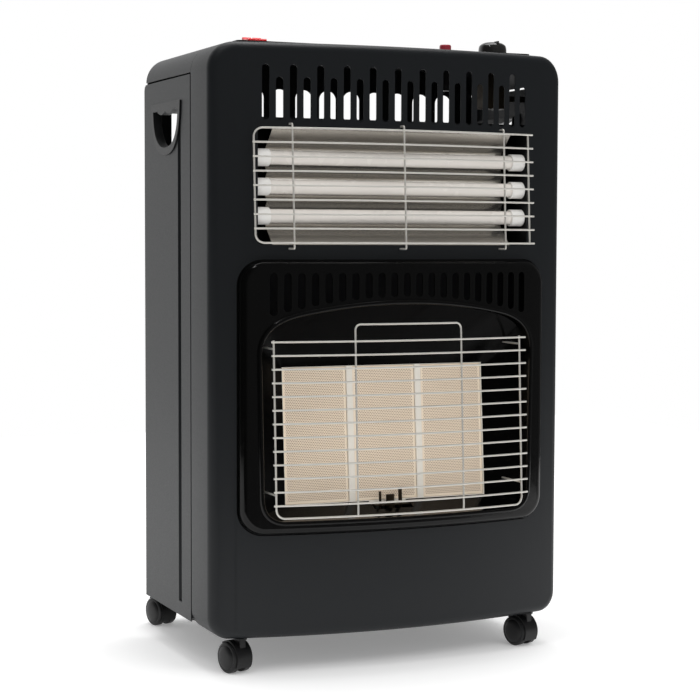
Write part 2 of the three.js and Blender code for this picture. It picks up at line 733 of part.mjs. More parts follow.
function lampChassis() {
  const half = BAY_HALF + SHEET;
  const clear = SHELL_WALL + GAP;
  const outside = alongZ(bowedPlan(half, CHASSIS_REAR, clear), BAY_LOW - 2.4, BAY_HIGH + 2.4);
  const inside = box(-BAY_HALF, BAY_HALF, -2 * FACE_BOW, CHASSIS_REAR - SHEET,
    BAY_LOW - 2.4 + SHEET, BAY_HIGH + 2.4 - SHEET);
  return cut(outside, inside);
}

// Polished trough with a shallow flute behind each tube.
function reflector() {
  const sheet = 0.8;
  const high = BAY_HIGH + 2.4 - SHEET - GAP;
  const low = BAY_LOW - 2.4 + SHEET + GAP;
  const spread = Math.asin(LAMP_PITCH / 2 / FLUTE_RADIUS);
  const steps = 6;
  const line = [[LAMP_Y - 8, high]];
  for (let lamp = 0; lamp < LAMPS; lamp++) {
    for (let i = 0; i <= steps; i++) {
      const angle = spread * (1 - 2 * i / steps);
      const y = LAMP_Y + FLUTE_RADIUS * Math.cos(angle);
      const z = lampZ(lamp) + FLUTE_RADIUS * Math.sin(angle);
      const repeated = i === 0 && lamp > 0;
      if (!repeated) line.push([y, z]);
    }
  }
  line.push([LAMP_Y - 8, low]);
  const back = line.map(([y, z], i) => {
    const end = i === 0 || i === line.length - 1;
    return end ? [y + 1, z] : [y + sheet, z];
  });
  const trough = alongX(polygon([...line, ...back.reverse()]), -REFLECTOR_HALF, REFLECTOR_HALF);
  // two fixing posts to the back of the chassis
  const posts = [-1, 1].map((side) => rod(4, 0, 1, 8).rotate([90, 0, 0])
    .scale([1, CHASSIS_REAR - SHEET - GAP - (LAMP_Y + FLUTE_RADIUS), 1])
    .translate(side * REFLECTOR_HALF * 0.6, CHASSIS_REAR - SHEET - GAP, lampZ(1)));
  return join(trough, ...posts);
}

const quartzTube = () =>
  rod(TUBE_RADIUS, -(CAP_START + CAP_SOCKET - GAP), CAP_START + CAP_SOCKET - GAP, 12, "x");

function tubeCap() {
  return turned([
    [0, CAP_START + CAP_SOCKET], [TUBE_RADIUS + CAP_FIT, CAP_START + CAP_SOCKET],
    [TUBE_RADIUS + CAP_FIT, CAP_START], [CAP_RADIUS, CAP_START], [CAP_RADIUS, CAP_END],
    [0, CAP_END],
  ], 12, "x");
}

/* ------------------------------------------------------------------ *
 *  Burner surround, dish, frame, plaques, plenum, pilot               *
 * ------------------------------------------------------------------ */

const bezelFace = (x) => faceY(x) - BEZEL_PROUD;
// An outline in five sections a side, from the middle of its foot to its crown: foot,
// foot corner, side, shoulder, crown. Arch and burner mouth share the steps.
const ARCH_STEPS = [4, 4, 1, 4, 4];
const MOUTH_CORNER = 12;

const quadPoint = (a, b, c, t) => a.clone().multiplyScalar((1 - t) ** 2)
  .addScaledVector(b, 2 * t * (1 - t)).addScaledVector(c, t * t);

// The arch opening in (x, z), moved outwards by grow.
function archSections(grow) {
  const foot = ARCH_FOOT_HALF + grow;
  const shoulder = ARCH_SHOULDER_HALF + grow;
  const low = ARCH_LOW - grow;
  const radius = ARCH_RADIUS + grow;
  const centre = ARCH_CROWN - ARCH_RADIUS;
  const corner = ARCH_FOOT_RADIUS + grow;
  const rise = Math.sqrt(radius ** 2 - ARCH_SPRING ** 2);
  const spring = v2(ARCH_SPRING, centre + rise);
  const bend = v2(shoulder, spring.y - (ARCH_SPRING / rise) * (shoulder - ARCH_SPRING));
  const start = Math.atan2(rise, ARCH_SPRING);
  const cornerStart = v2(foot - corner, low);
  const cornerEnd = v2(foot, low + corner);
  const head = v2(shoulder, ARCH_SHOULDER_Z);
  return [
    (t) => v2(t * (foot - corner), low),
    (t) => quadPoint(cornerStart, v2(foot, low), cornerEnd, t),
    (t) => cornerEnd.clone().lerp(head, t),
    (t) => quadPoint(head, bend, spring, t),
    (t) => {
      const angle = start + t * (Math.PI / 2 - start);
      return v2(radius * Math.cos(angle), centre + radius * Math.sin(angle));
    },
  ];
}

// Points of both halves, anticlockwise from the middle of the foot.
function wholeOutline(sections) {
  const right = sections.flatMap((section, k) =>
    between(0, 1, ARCH_STEPS[k]).slice(0, -1).map((t) => section(t)));
  const crown = v2(0, sections.at(-1)(1).y);
  const left = right.slice(1).reverse().map((p) => v2(-p.x, p.y));
  return [...right, crown, ...left];
}

const archRing = (grow, y) => wholeOutline(archSections(grow)).map((p) => v3(p.x, y(p.x), p.y));

function grilleSlot(i) {
  const x = (i - (GRILLE_SLOTS - 1) / 2) * GRILLE_PITCH;
  const arch = ARCH_CROWN - ARCH_RADIUS + Math.sqrt(ARCH_RADIUS ** 2 - x ** 2);
  return slotShape(x, GRILLE_WIDTH, arch + GRILLE_ABOVE_ARCH, GRILLE_HIGH);
}

function burnerBezel() {
  const seat = SHELL_WALL + GAP;
  const inner = shrink(bezelPlate, BEZEL_WALL);
  const flangeFront = (x) => faceY(x) + seat;
  const flangeRear = (x) => faceY(x) + seat + BEZEL_WALL;
  const pressing = loft([
    ...rolledEdge(inner, (x) => bezelFace(x) + BEZEL_WALL, BEZEL_EDGE - BEZEL_WALL).reverse(),
    plateRing(inner, 0, flangeRear),
    plateRing(bezelPlate, -BEZEL_FLANGE, flangeRear),
    plateRing(bezelPlate, -BEZEL_FLANGE, flangeFront),
    plateRing(bezelPlate, 0, flangeFront),
    ...rolledEdge(bezelPlate, bezelFace, BEZEL_EDGE),
  ]);
  // rolled lip round the arch, turned back to meet the dish: [outwards, rearwards]
  const lip = [
    [0, LIP_DEPTH], [0, -1], [1.4, -2.8], [4.2, -2.8], [5.6, BEZEL_WALL / 2],
    [LIP_WALL, BEZEL_WALL], [LIP_WALL, LIP_DEPTH],
  ];
  const lipRing = loft(lip.map(([grow, back]) => archRing(grow, (x) => bezelFace(x) + back)), true);
  const arch = alongY(new THREE.Shape(wholeOutline(archSections(LIP_WALL / 2))),
    -3 * FACE_BOW, SHELL_DEPTH);
  const slots = Array.from({ length: GRILLE_SLOTS }, (_, i) =>
    alongY(grilleSlot(i), -3 * FACE_BOW, SHELL_DEPTH, 3));
  return join(cut(pressing, arch, ...slots), lipRing);
}

// The leaning frame of the burner: local (y, z) to the heater's (y, z).
const lean = rad(-BURNER_LEAN);
const burnerY = (y, z) => BURNER_Y + y * Math.cos(lean) - z * Math.sin(lean);
const burnerZ = (y, z) => BURNER_Z + y * Math.sin(lean) + z * Math.cos(lean);

const plaquePitch = PLAQUE_WIDTH + PLAQUE_BAR;
const frameHalfX = (PLAQUES * PLAQUE_WIDTH + (PLAQUES - 1) * PLAQUE_BAR) / 2 + FRAME_RIM;
const frameHalfZ = PLAQUE_HEIGHT / 2 + FRAME_RIM;
const frameDepth = PLAQUE_SINK + PLAQUE_THICK;
const plaqueX = (i) => (i - (PLAQUES - 1) / 2) * plaquePitch;

// A ring on the mouth of the burner frame, in step with archRing: its square corners
// stand at the middle of the arch's corners.
function mouthRing(inset, y) {
  const halfX = frameHalfX - inset;
  const halfZ = frameHalfZ - inset;
  const k = MOUTH_CORNER;
  const sections = [
    (t) => v2(t * (halfX - k), -halfZ),
    (t) => v2(halfX - k + Math.min(2 * t, 1) * k, -halfZ + Math.max(2 * t - 1, 0) * k),
    (t) => v2(halfX, (halfZ - k) * (2 * t - 1)),
    (t) => v2(halfX - Math.max(2 * t - 1, 0) * k, halfZ - k + Math.min(2 * t, 1) * k),
    (t) => v2((halfX - k) * (1 - t), halfZ),
  ];
  return wholeOutline(sections).map((p) => v3(p.x, burnerY(y, p.y), burnerZ(y, p.y)));
}

const PILOT_HALF = 22;
const PILOT_FRONT = 22;
const PILOT_DOOR_LOW = 20;
const PILOT_CLEAR = 3;
const PILOT_BRACKET = 16;
const PILOT_REACH = 14;
const PILOT_STAND = 9;

function burnerDish() {
  const front = LIP_DEPTH - BEZEL_PROUD + GAP;
  const cone = loft([
    archRing(DISH_FLANGE, (x) => faceY(x) + front),
    archRing(0, (x) => faceY(x) + front),
    mouthRing(FRAME_RIM - 1, -GAP),
    mouthRing(FRAME_RIM - 1 - DISH_WALL, -GAP),
    archRing(DISH_WALL, (x) => faceY(x) + front + DISH_WALL),
    archRing(DISH_FLANGE, (x) => faceY(x) + front + DISH_WALL),
  ], true);
  const pilotDoor = box(
    -PILOT_HALF - PILOT_CLEAR, PILOT_HALF + PILOT_CLEAR,
    burnerY(-PILOT_FRONT, -frameHalfZ), burnerY(2 * PILOT_CLEAR, -frameHalfZ),
    burnerZ(0, -frameHalfZ) - PILOT_DOOR_LOW, burnerZ(0, PILOT_REACH + PILOT_CLEAR - PLAQUE_HEIGHT / 2),
  );
  const legs = [LOWER_LEFT, LOWER_RIGHT].flatMap((x) => [LEG_LOW, LEG_HIGH].map((z) =>
    rod(LEG_HOLE, 0, 2 * FACE_BOW, 6).rotate([-90, 0, 0]).translate(x, -FACE_BOW, z)));
  return cut(cone, pilotDoor, ...legs);
}

function burnerFrame() {
  const rim = box(-frameHalfX, frameHalfX, 0, frameDepth, -frameHalfZ, frameHalfZ);
  const half = PLAQUE_WIDTH / 2 + PLAQUE_FIT;
  const tall = PLAQUE_HEIGHT / 2 + PLAQUE_FIT;
  const windows = Array.from({ length: PLAQUES }, (_, i) =>
    box(plaqueX(i) - half, plaqueX(i) + half, -1, frameDepth + 1, -tall, tall));
  return cut(rim, ...windows);
}

const plaque = () => box(
  -PLAQUE_WIDTH / 2, PLAQUE_WIDTH / 2, PLAQUE_SINK, frameDepth, -PLAQUE_HEIGHT / 2, PLAQUE_HEIGHT / 2,
);

const MIXER_END = -frameHalfZ - MIXER_LENGTH;

// Pressed plenum behind the plaques, with one mixing tube hanging under each.
function burnerBody() {
  const front = frameDepth + GAP;
  const seatX = frameHalfX - FRAME_RIM - PLENUM_WALL;
  const seatZ = frameHalfZ - FRAME_RIM - PLENUM_WALL;
  const flange = box(-frameHalfX, frameHalfX, front, front + PLENUM_WALL, -frameHalfZ, frameHalfZ);
  const back = box(-seatX - PLENUM_WALL, seatX + PLENUM_WALL, front, front + PLENUM_DEPTH,
    -seatZ - PLENUM_WALL, seatZ + PLENUM_WALL);
  const hollow = box(-seatX, seatX, front - 1, front + PLENUM_DEPTH - PLENUM_WALL, -seatZ, seatZ);
  const mixers = Array.from({ length: PLAQUES }, (_, i) => turned([
    [0, -frameHalfZ - PLENUM_SEAT], [MIXER_RADIUS - PLENUM_WALL, -frameHalfZ - PLENUM_SEAT],
    [MIXER_RADIUS - PLENUM_WALL, MIXER_END + 12], [MIXER_MOUTH - PLENUM_WALL, MIXER_END],
    [MIXER_MOUTH, MIXER_END], [MIXER_RADIUS, MIXER_END + 14],
    [MIXER_RADIUS, -seatZ - PLENUM_WALL + 0.5], [0, -seatZ - PLENUM_WALL + 0.5],
  ], 8).translate(plaqueX(i), MIXER_Y, 0));
  return join(cut(join(flange, back), hollow), ...mixers);
}

// Pilot jet, flame sensor and spark electrode on one bracket under the frame.
function pilotAssembly() {
  const top = -frameHalfZ - GAP;
  const bracket = box(
    -PILOT_HALF, PILOT_HALF, -PILOT_BRACKET, frameDepth - 2, top - PLENUM_WALL, top,
  );
  const standing = (radius, x, reach, sides) =>
    rod(radius, top - 8, -PLAQUE_HEIGHT / 2 + reach, sides).translate(x, -PILOT_STAND, 0);
  return join(bracket, standing(5, 0, 6, 10), standing(2.3, 13, PILOT_REACH, 6), standing(1.6, -13, 10, 6));
}

/* ------------------------------------------------------------------ *
 *  Wire guards                                                        *
 * ------------------------------------------------------------------ */

// A path whose steps stand exactly at the given points.
class BentWire extends THREE.Curve {
  constructor(points) {
    super();
    this.points = points;
  }

  getPoint(t) {
    const place = t * (this.points.length - 1);
    const i = Math.min(Math.max(Math.floor(place), 0), this.points.length - 2);
    return this.points[i].clone().lerp(this.points[i + 1], place - i);
  }

  getPointAt(t) {
    return this.getPoint(t);
  }

  getTangentAt(t) {
    return this.getTangent(t);
  }
}

function wire(points, radius = WIRE_RADIUS, sides = WIRE_SIDES) {
  const section = polygon(Array.from({ length: sides }, (_, i) => {
    const angle = ((i + 0.5) / sides) * 2 * Math.PI;
    return [radius * Math.cos(angle), radius * Math.sin(angle)];
  }));
  return solid(new THREE.ExtrudeGeometry(section, {
    steps: points.length - 1, bevelEnabled: false, extrudePath: new BentWire(points),
  }));
}

// Points of a rounded corner in the plane of a guard, from one direction to another.
function cornerPoints(x, z, radius, fromAngle, toAngle, y) {
  return between(rad(fromAngle), rad(toAngle), 3).map((a) => {
    const px = x + radius * Math.cos(a);
    const pz = z + radius * Math.sin(a);
    return v3(px, y(px, pz), pz);
  });
}

const WELD = 2 * WIRE_RADIUS * WELD_SHARE;

function upperGuardY(x, z) {
  const fall = (UPPER_HIGH - z) / (UPPER_HIGH - UPPER_LOW);
  return faceY(x) - UPPER_STAND - (UPPER_STAND_LOW - UPPER_STAND) * fall;
}

function upperGuard() {
  const r = GUARD_CORNER;
  const level = (z, x0, x1) => between(x0, x1, BOW_STEPS).map((x) => v3(x, upperGuardY(x, z), z));
  // the outer wire slips behind the ends of the others on its way down the left side
  const slip = (x, z) => upperGuardY(x, z) + WELD * (UPPER_LEFT + r - x) / r;
  const outer = wire([
    ...level(UPPER_HIGH, UPPER_TIP, UPPER_LEFT + r).slice(0, -1),
    ...cornerPoints(UPPER_LEFT + r, UPPER_HIGH - r, r, 90, 180, slip),
    ...cornerPoints(UPPER_LEFT + r, UPPER_LOW + r, r, 180, 270, slip),
    ...level(UPPER_LOW, UPPER_LEFT + r, UPPER_TIP).slice(1),
  ]);
  const pitch = (UPPER_HIGH - UPPER_LOW) / (UPPER_WIRES - 1);
  const levels = Array.from({ length: UPPER_WIRES - 2 }, (_, i) =>
    wire(level(UPPER_LOW + (i + 1) * pitch, UPPER_LEFT - UPPER_OVERHANG, UPPER_TIP)));
  const bars = [UPPER_BAR_LEFT, UPPER_BAR_MIDDLE, UPPER_BAR_RIGHT].map((x) => {
    const high = BAY_HIGH + UPPER_LEG;
    const low = BAY_LOW - UPPER_LEG;
    const back = (z) => upperGuardY(x, z) + WELD;
    return wire([
      v3(x, faceY(x) - GAP, high), v3(x, back(high) + UPPER_BEND, high),
      v3(x, back(high), high - UPPER_BEND), v3(x, back(low), low + UPPER_BEND),
      v3(x, back(low) + UPPER_BEND, low), v3(x, faceY(x) - GAP, low),
    ]);
  });
  const endBar = wire([UPPER_HIGH + WIRE_RADIUS, UPPER_LOW - WIRE_RADIUS].map((z) =>
    v3(UPPER_END_BAR, upperGuardY(UPPER_END_BAR, z) + WELD, z)));
  return join(outer, ...levels, ...bars, endBar);
}

function lowerGuardY(x, z) {
  const fall = (LOWER_HIGH - z) / (LOWER_HIGH - LOWER_SILL);
  return faceY(x) - LOWER_STAND - (LOWER_STAND_LOW - LOWER_STAND) * fall;
}

function lowerGuard() {
  const r = GUARD_CORNER;
  const pitch = (LOWER_HIGH - LOWER_LOW) / (LOWER_WIRES - 1);
  const levels = Array.from({ length: LOWER_WIRES }, (_, i) => {
    const z = LOWER_LOW + i * pitch;
    return wire(between(LOWER_LEFT - LOWER_OVERHANG, LOWER_TIP, BOW_STEPS)
      .map((x) => v3(x, lowerGuardY(x, z), z)));
  });
  const behind = (x, z) => lowerGuardY(x, z) + WELD;
  const sill = between(LOWER_LEFT + r, LOWER_RIGHT - r, BOW_STEPS).slice(1, -1)
    .map((x) => v3(x, behind(x, LOWER_SILL), LOWER_SILL));
  const cradle = wire([
    v3(LOWER_LEFT, behind(LOWER_LEFT, LOWER_HIGH + LOWER_RISE), LOWER_HIGH + LOWER_RISE),
    ...cornerPoints(LOWER_LEFT + r, LOWER_SILL + r, r, 180, 270, behind),
    ...sill,
    ...cornerPoints(LOWER_RIGHT - r, LOWER_SILL + r, r, -90, 0, behind),
    v3(LOWER_RIGHT, behind(LOWER_RIGHT, LOWER_HIGH + LOWER_RISE), LOWER_HIGH + LOWER_RISE),
  ]);
  const c = HOOP_CORNER;
  const hoop = wire([
    v3(-HOOP_HALF, behind(-HOOP_HALF, LOWER_SILL) + WIRE_RADIUS / 2, LOWER_SILL - WIRE_RADIUS),
    ...cornerPoints(c - HOOP_HALF, HOOP_HIGH - c, c, 180, 90, behind),
    v3(0, behind(0, HOOP_HIGH), HOOP_HIGH),
    ...cornerPoints(HOOP_HALF - c, HOOP_HIGH - c, c, 90, 0, behind),
    v3(HOOP_HALF, behind(HOOP_HALF, LOWER_SILL) + WIRE_RADIUS / 2, LOWER_SILL - WIRE_RADIUS),
  ]);
  const legs = [LOWER_LEFT, LOWER_RIGHT].flatMap((x) => [LEG_LOW, LEG_HIGH].map((z) => {
    const y = behind(x, z);
    return wire([v3(x, y, z), v3(x, y + LEG_REACH, z)], LEG_RADIUS);
  }));
  return join(cradle, hoop, ...levels, ...legs);
}

/* ------------------------------------------------------------------ *
 *  Control panel, switches, igniter button, gas knob and valve        *
 * ------------------------------------------------------------------ */

const PANEL_LOW = BODY_HIGH + GAP;
const PANEL_TOP = PANEL_LOW + PANEL_THICK;
const KNOB_LOW = PANEL_TOP + 0.5;
const WELL_RADIUS = KNOB_RADIUS + WELL_CLEAR;
const WELL_FLOOR = KNOB_LOW - KNOB_TRAVEL - 1;
const switchGap = GAP;
const switchMiddle = 1.2;
const rockerOffset = (ROCKER_WIDTH + switchMiddle) / 2 + switchGap;
const rockerZ = PANEL_LOW + 0.7;
const BOSS_LOW = PANEL_LOW - 3;

function controlPanel() {
  const plate = alongZ(
    roundedRect(-PANEL_HALF, PANEL_HALF, PANEL_FRONT, PANEL_REAR, PANEL_CORNER), PANEL_LOW, PANEL_TOP, 3,
  );
  const well = rod(WELL_RADIUS + WELL_WALL, WELL_FLOOR - WELL_WALL, PANEL_LOW + 0.1, 16)
    .translate(KNOB_X, CONTROL_Y, 0);
  const boss = rod(BUTTON_RADIUS + 3, BOSS_LOW, PANEL_LOW + 0.1, 12).translate(BUTTON_X, CONTROL_Y, 0);
  const roomX = ROCKER_WIDTH / 2 + switchGap;
  const roomY = ROCKER_LENGTH / 2 + 1.2;
  const housing = box(
    ROCKER_X - rockerOffset - roomX - SWITCH_WALL, ROCKER_X + rockerOffset + roomX + SWITCH_WALL,
    CONTROL_Y - roomY - SWITCH_WALL, CONTROL_Y + roomY + SWITCH_WALL,
    PANEL_LOW - SWITCH_DEPTH, PANEL_LOW + 0.1,
  );
  const rooms = [-1, 1].map((side) => {
    const x = ROCKER_X + side * rockerOffset;
    return box(x - roomX, x + roomX, CONTROL_Y - roomY, CONTROL_Y + roomY,
      PANEL_LOW - SWITCH_DEPTH + SWITCH_WALL, PANEL_TOP + 1);
  });
  const reach = rockerOffset + ROCKER_WIDTH;
  const pinHole = rod(ROCKER_PIN + GAP, ROCKER_X - reach, ROCKER_X + reach, 8, "x")
    .translate(0, CONTROL_Y, rockerZ - 3);
  const knobHole = rod(WELL_RADIUS, WELL_FLOOR, PANEL_TOP + 1, 16).translate(KNOB_X, CONTROL_Y, 0);
  const spindleHole = rod(PLUG_RADIUS, WELL_FLOOR - 3, WELL_FLOOR + 1).translate(KNOB_X, CONTROL_Y, 0);
  const buttonHole = rod(BUTTON_RADIUS + 0.5, BOSS_LOW - 1, PANEL_TOP + 1, 12)
    .translate(BUTTON_X, CONTROL_Y, 0);
  return cut(join(plate, well, boss, housing), ...rooms, pinHole, knobHole, spindleHole, buttonHole);
}

// A rocker, drawn level about its pin in (y, z), then tilted to its off position.
function rocker() {
  const half = ROCKER_LENGTH / 2;
  const side = ROCKER_WIDTH / 2;
  const high = ROCKER_RISE + 3;
  const shape = new THREE.Shape();
  shape.moveTo(-half + 5, -9);
  shape.lineTo(half - 5, -9);
  shape.lineTo(half - 0.4, 0);
  shape.lineTo(half, high - 1);
  shape.lineTo(half - 1.2, high);
  shape.quadraticCurveTo(0, high - 2 * ROCKER_DISH, 1.2 - half, high);
  shape.lineTo(-half, high - 1);
  shape.lineTo(0.4 - half, 0);
  const body = alongX(shape, -side, side, 4);
  const pin = rod(ROCKER_PIN, -side - 0.8, side + 0.8, 8, "x");
  return join(body, pin).rotate([ROCKER_TILT, 0, 0]);
}

const knobTop = KNOB_LOW + KNOB_HEIGHT;

function gasKnob() {
  const r = KNOB_RADIUS;
  const dome = turned([
    [0, knobTop], [r * 0.55, knobTop - 0.5], [r * 0.86, knobTop - 3.2], [r, KNOB_LOW + 4],
    [r, KNOB_LOW], [SPINDLE_RADIUS + GAP, KNOB_LOW],
    [SPINDLE_RADIUS + GAP, knobTop - 4], [0, knobTop - 4],
  ], 18);
  const pointer = box(-1.2, 1.2, -r * 0.9, -r * 0.3, knobTop - 4, knobTop + 0.3);
  return join(dome, pointer);
}

const knobSpindle = () => rod(SPINDLE_RADIUS, PLUG_LOW + 9, knobTop - 4 - GAP, 8);

const plugHigh = WELL_FLOOR - WELL_WALL - 2;

const valvePlug = () => turned([
  [0, PLUG_LOW + GAP], [PLUG_RADIUS, PLUG_LOW + GAP], [PLUG_RADIUS, plugHigh],
  [SPINDLE_RADIUS + GAP, plugHigh], [SPINDLE_RADIUS + GAP, PLUG_LOW + 4], [0, PLUG_LOW + 4],
], 12);

const railY = burnerY(MIXER_Y, MIXER_END);
const railZ = burnerZ(MIXER_Y, MIXER_END) - RAIL_DROP;

function gasValve() {
  const neckHigh = WELL_FLOOR - WELL_WALL - GAP;
  const body = box(-VALVE_HALF_X, VALVE_HALF_X, -VALVE_HALF_Y, VALVE_HALF_Y, VALVE_LOW, VALVE_HIGH);
  const neck = rod(VALVE_NECK, VALVE_HIGH - 1, neckHigh, 12);
  const bore = rod(PLUG_RADIUS + GAP, PLUG_LOW, neckHigh + 1, 12);
  const inlet = rod(4.5, 0, INLET_LENGTH, 8).rotate([-90, 0, 0])
    .translate(0, VALVE_HALF_Y - 1, INLET_Z);
  return cut(join(body, neck, inlet), bore);
}

// Supply pipe down the right side and along under the mixers, with its injectors.
function gasRail() {
  const start = KNOB_X + VALVE_HALF_X + GAP;
  const b = PIPE_BEND;
  const bend = (x, z, from, to) => between(rad(from), rad(to), 3)
    .map((a) => v3(x + b * Math.cos(a), railY, z + b * Math.sin(a)));
  const pipe = wire([
    v3(start, railY, OUTLET_Z),
    ...bend(PIPE_X - b, OUTLET_Z - b, 90, 0),
    ...bend(PIPE_X - b, railZ + b, 0, -90),
    v3(plaqueX(0) - 12, railY, railZ),
  ], PIPE_RADIUS, 6);
  const injectors = Array.from({ length: PLAQUES }, (_, i) =>
    rod(INJECTOR_RADIUS, railZ, railZ + RAIL_DROP + 4, 6).translate(plaqueX(i), railY, 0));
  return join(pipe, ...injectors);
}

function piezoButton() {
  const low = PANEL_TOP + 0.6;
  return turned([
    [0, low - BUTTON_REACH], [BUTTON_STEM, low - BUTTON_REACH], [BUTTON_STEM, low],
    [BUTTON_RADIUS, low],
    [BUTTON_RADIUS, low + BUTTON_HEIGHT - 2], [BUTTON_RADIUS - 1.5, low + BUTTON_HEIGHT],
    [0, low + BUTTON_HEIGHT],
  ], 12);
}

function piezoIgniter() {
  const high = BOSS_LOW - GAP;
  const depth = BUTTON_REACH + BUTTON_TRAVEL;
  return turned([
    [0, high - IGNITER_LENGTH], [IGNITER_RADIUS - 2, high - IGNITER_LENGTH],
    [IGNITER_RADIUS, high - IGNITER_LENGTH + 6], [IGNITER_RADIUS, high],
    [BUTTON_STEM + GAP, high], [BUTTON_STEM + GAP, high - depth], [0, high - depth],
  ], 12);
}

/* ------------------------------------------------------------------ *
 *  Casters: stem on the cabinet, swivelling hood, axle, two wheels    *
 * ------------------------------------------------------------------ */

const hoodInner = WHEEL_RADIUS + HOOD_CLEAR;
const hoodOuter = hoodInner + HOOD_THICK;
const collarHigh = BODY_LOW - GAP;
const collarLow = collarHigh - 2.2;

function casterStem() {
  const nutLow = BODY_LOW + SHELL_WALL + GAP;
  const pin = rod(STEM_RADIUS, WHEEL_RADIUS + 8, collarLow + 0.1, 6);
  const collar = rod(STEM_COLLAR, collarLow, collarHigh, 8);
  const bolt = rod(STEM_BOLT, collarHigh - 0.1, nutLow + 8, 6);
  const nut = rod(STEM_NUT, nutLow, nutLow + 5, 6);
  return join(pin, collar, bolt, nut);
}

// Part-drum shield over both wheels, a web between them, and the stem socket.
function casterHood() {
  const start = rad(55);
  const end = rad(212);
  const webHalf = WHEEL_INNER - 0.4;
  const band = new THREE.Shape();
  band.absarc(0, 0, hoodOuter, start, end);
  band.absarc(0, 0, hoodInner, end, start, true);
  const web = new THREE.Shape();
  web.absarc(0, 0, hoodInner + HOOD_THICK / 2, start, end);
  web.absarc(0, 0, HOOD_HUB, end, start + 2 * Math.PI);
  const placed = (piece) => piece.translate(0, CASTER_TRAIL, WHEEL_RADIUS);
  const shield = placed(alongX(band, -HOOD_HALF, HOOD_HALF, 7));
  const plate = placed(alongX(web, -webHalf, webHalf, 5));
  const socket = box(-webHalf, webHalf, -SOCKET_HALF, SOCKET_HALF, WHEEL_RADIUS + 6, collarLow - GAP);
  const bore = rod(STEM_RADIUS + GAP, WHEEL_RADIUS + 7.7, BODY_LOW, 8);
  const axleHole = placed(rod(AXLE_RADIUS + GAP, -webHalf - 1, webHalf + 1, 6, "x"));
  return cut(join(shield, plate, socket), bore, axleHole);
}

const casterAxle = () => rod(AXLE_RADIUS, -(WHEEL_OUTER - 3 - GAP), WHEEL_OUTER - 3 - GAP, 6, "x");

// One wheel, on the +X side: flat facets stand on the floor, the outer face is domed.
function casterWheel() {
  const r = WHEEL_RADIUS / Math.cos(Math.PI / WHEEL_FACETS);
  const bore = AXLE_RADIUS + GAP;
  return turned([
    [0, WHEEL_OUTER + 1], [r * 0.7, WHEEL_OUTER + 0.2],
    [r, WHEEL_OUTER - 3], [r, WHEEL_INNER], [bore, WHEEL_INNER],
    [bore, WHEEL_OUTER - 3], [0, WHEEL_OUTER - 3],
  ], WHEEL_FACETS, "x", Math.PI / WHEEL_FACETS);
}

/* ------------------------------------------------------------------ *
 *  Assembly                                                           *
 * ------------------------------------------------------------------ */

const heater = new THREE.Group();
const cabinet = new THREE.Group();
heater.add(cabinet);

const MERGE = 0.002; // how far flat neighbours may be off and still become one face

function add(name, made, material, parent = cabinet) {
  const data = made.simplify(MERGE).getMesh();
  const geometry = new THREE.BufferGeometry();
  geometry.setAttribute("position", new THREE.BufferAttribute(new Float32Array(data.vertProperties), 3));
  geometry.setIndex(new THREE.BufferAttribute(new Uint32Array(data.triVerts), 1));
  geometry.computeVertexNormals();
  const mesh = new THREE.Mesh(geometry, material);
  mesh.name = name;
  parent.add(mesh);
  return mesh;
}

add("front_shell", frontShell(), charcoalPaint);
const panelSolid = sidePanel();
const handleSolid = handle();
add("side_panel_right", panelSolid, charcoalPaint);
add("side_panel_left", panelSolid.mirror([1, 0, 0]), charcoalPaint);
add("handle_right", handleSolid, blackPlastic);
add("handle_left", handleSolid.mirror([1, 0, 0]), blackPlastic);
add("top_cover", topCover(), charcoalPaint);
add("rear_vent_panel", rearVent(), charcoalPaint);
add("heat_shield", heatShield(), greyPlate);
add("base_tray", floorPan(), sootBlack);

add("lamp_chassis", lampChassis(), sootBlack);
add("lamp_reflector", reflector(), polishedAlu);
for (let i = 0; i < LAMPS; i++) {
  const z = lampZ(i);
  add(`quartz_tube_${i + 1}`, quartzTube().translate(0, LAMP_Y, z), quartz);
  add(`tube_cap_right_${i + 1}`, tubeCap().translate(0, LAMP_Y, z), ceramicWhite);
  add(`tube_cap_left_${i + 1}`, tubeCap().mirror([1, 0, 0]).translate(0, LAMP_Y, z), ceramicWhite);
}

add("burner_bezel", burnerBezel(), blackEnamel);
add("burner_dish", burnerDish(), blackEnamel);
const burner = new THREE.Group();
burner.position.set(0, BURNER_Y, BURNER_Z);
burner.rotation.x = lean;
cabinet.add(burner);
add("burner_frame", burnerFrame(), zincSteel, burner);
for (let i = 0; i < PLAQUES; i++) {
  add(`ceramic_plaque_${i + 1}`, plaque(), ceramicCream, burner).position.x = plaqueX(i);
}
add("burner_body", burnerBody(), zincSteel, burner);
add("pilot_assembly", pilotAssembly(), brass, burner);
add("gas_rail", gasRail(), brass);

add("upper_guard", upperGuard(), brightWire);
add("lower_guard", lowerGuard(), brightWire);

add("control_panel", controlPanel(), blackPlastic);
[-1, 1].forEach((side, i) => {
  const placed = rocker().translate(ROCKER_X + side * rockerOffset, CONTROL_Y, rockerZ - 3);
  add(`rocker_switch_${i + 1}`, placed, redPlastic);
});
add("piezo_button", piezoButton().translate(BUTTON_X, CONTROL_Y, 0), darkRedPlastic);
add("piezo_igniter", piezoIgniter().translate(BUTTON_X, CONTROL_Y, 0), blackPlastic);
const valveStack = new THREE.Group();
valveStack.position.set(KNOB_X, CONTROL_Y, 0);
cabinet.add(valveStack);
add("gas_knob", gasKnob(), knobPlastic, valveStack);
add("knob_spindle", knobSpindle(), zincSteel, valveStack);
add("valve_plug", valvePlug(), brass, valveStack);
add("gas_valve", gasValve(), brass, valveStack);

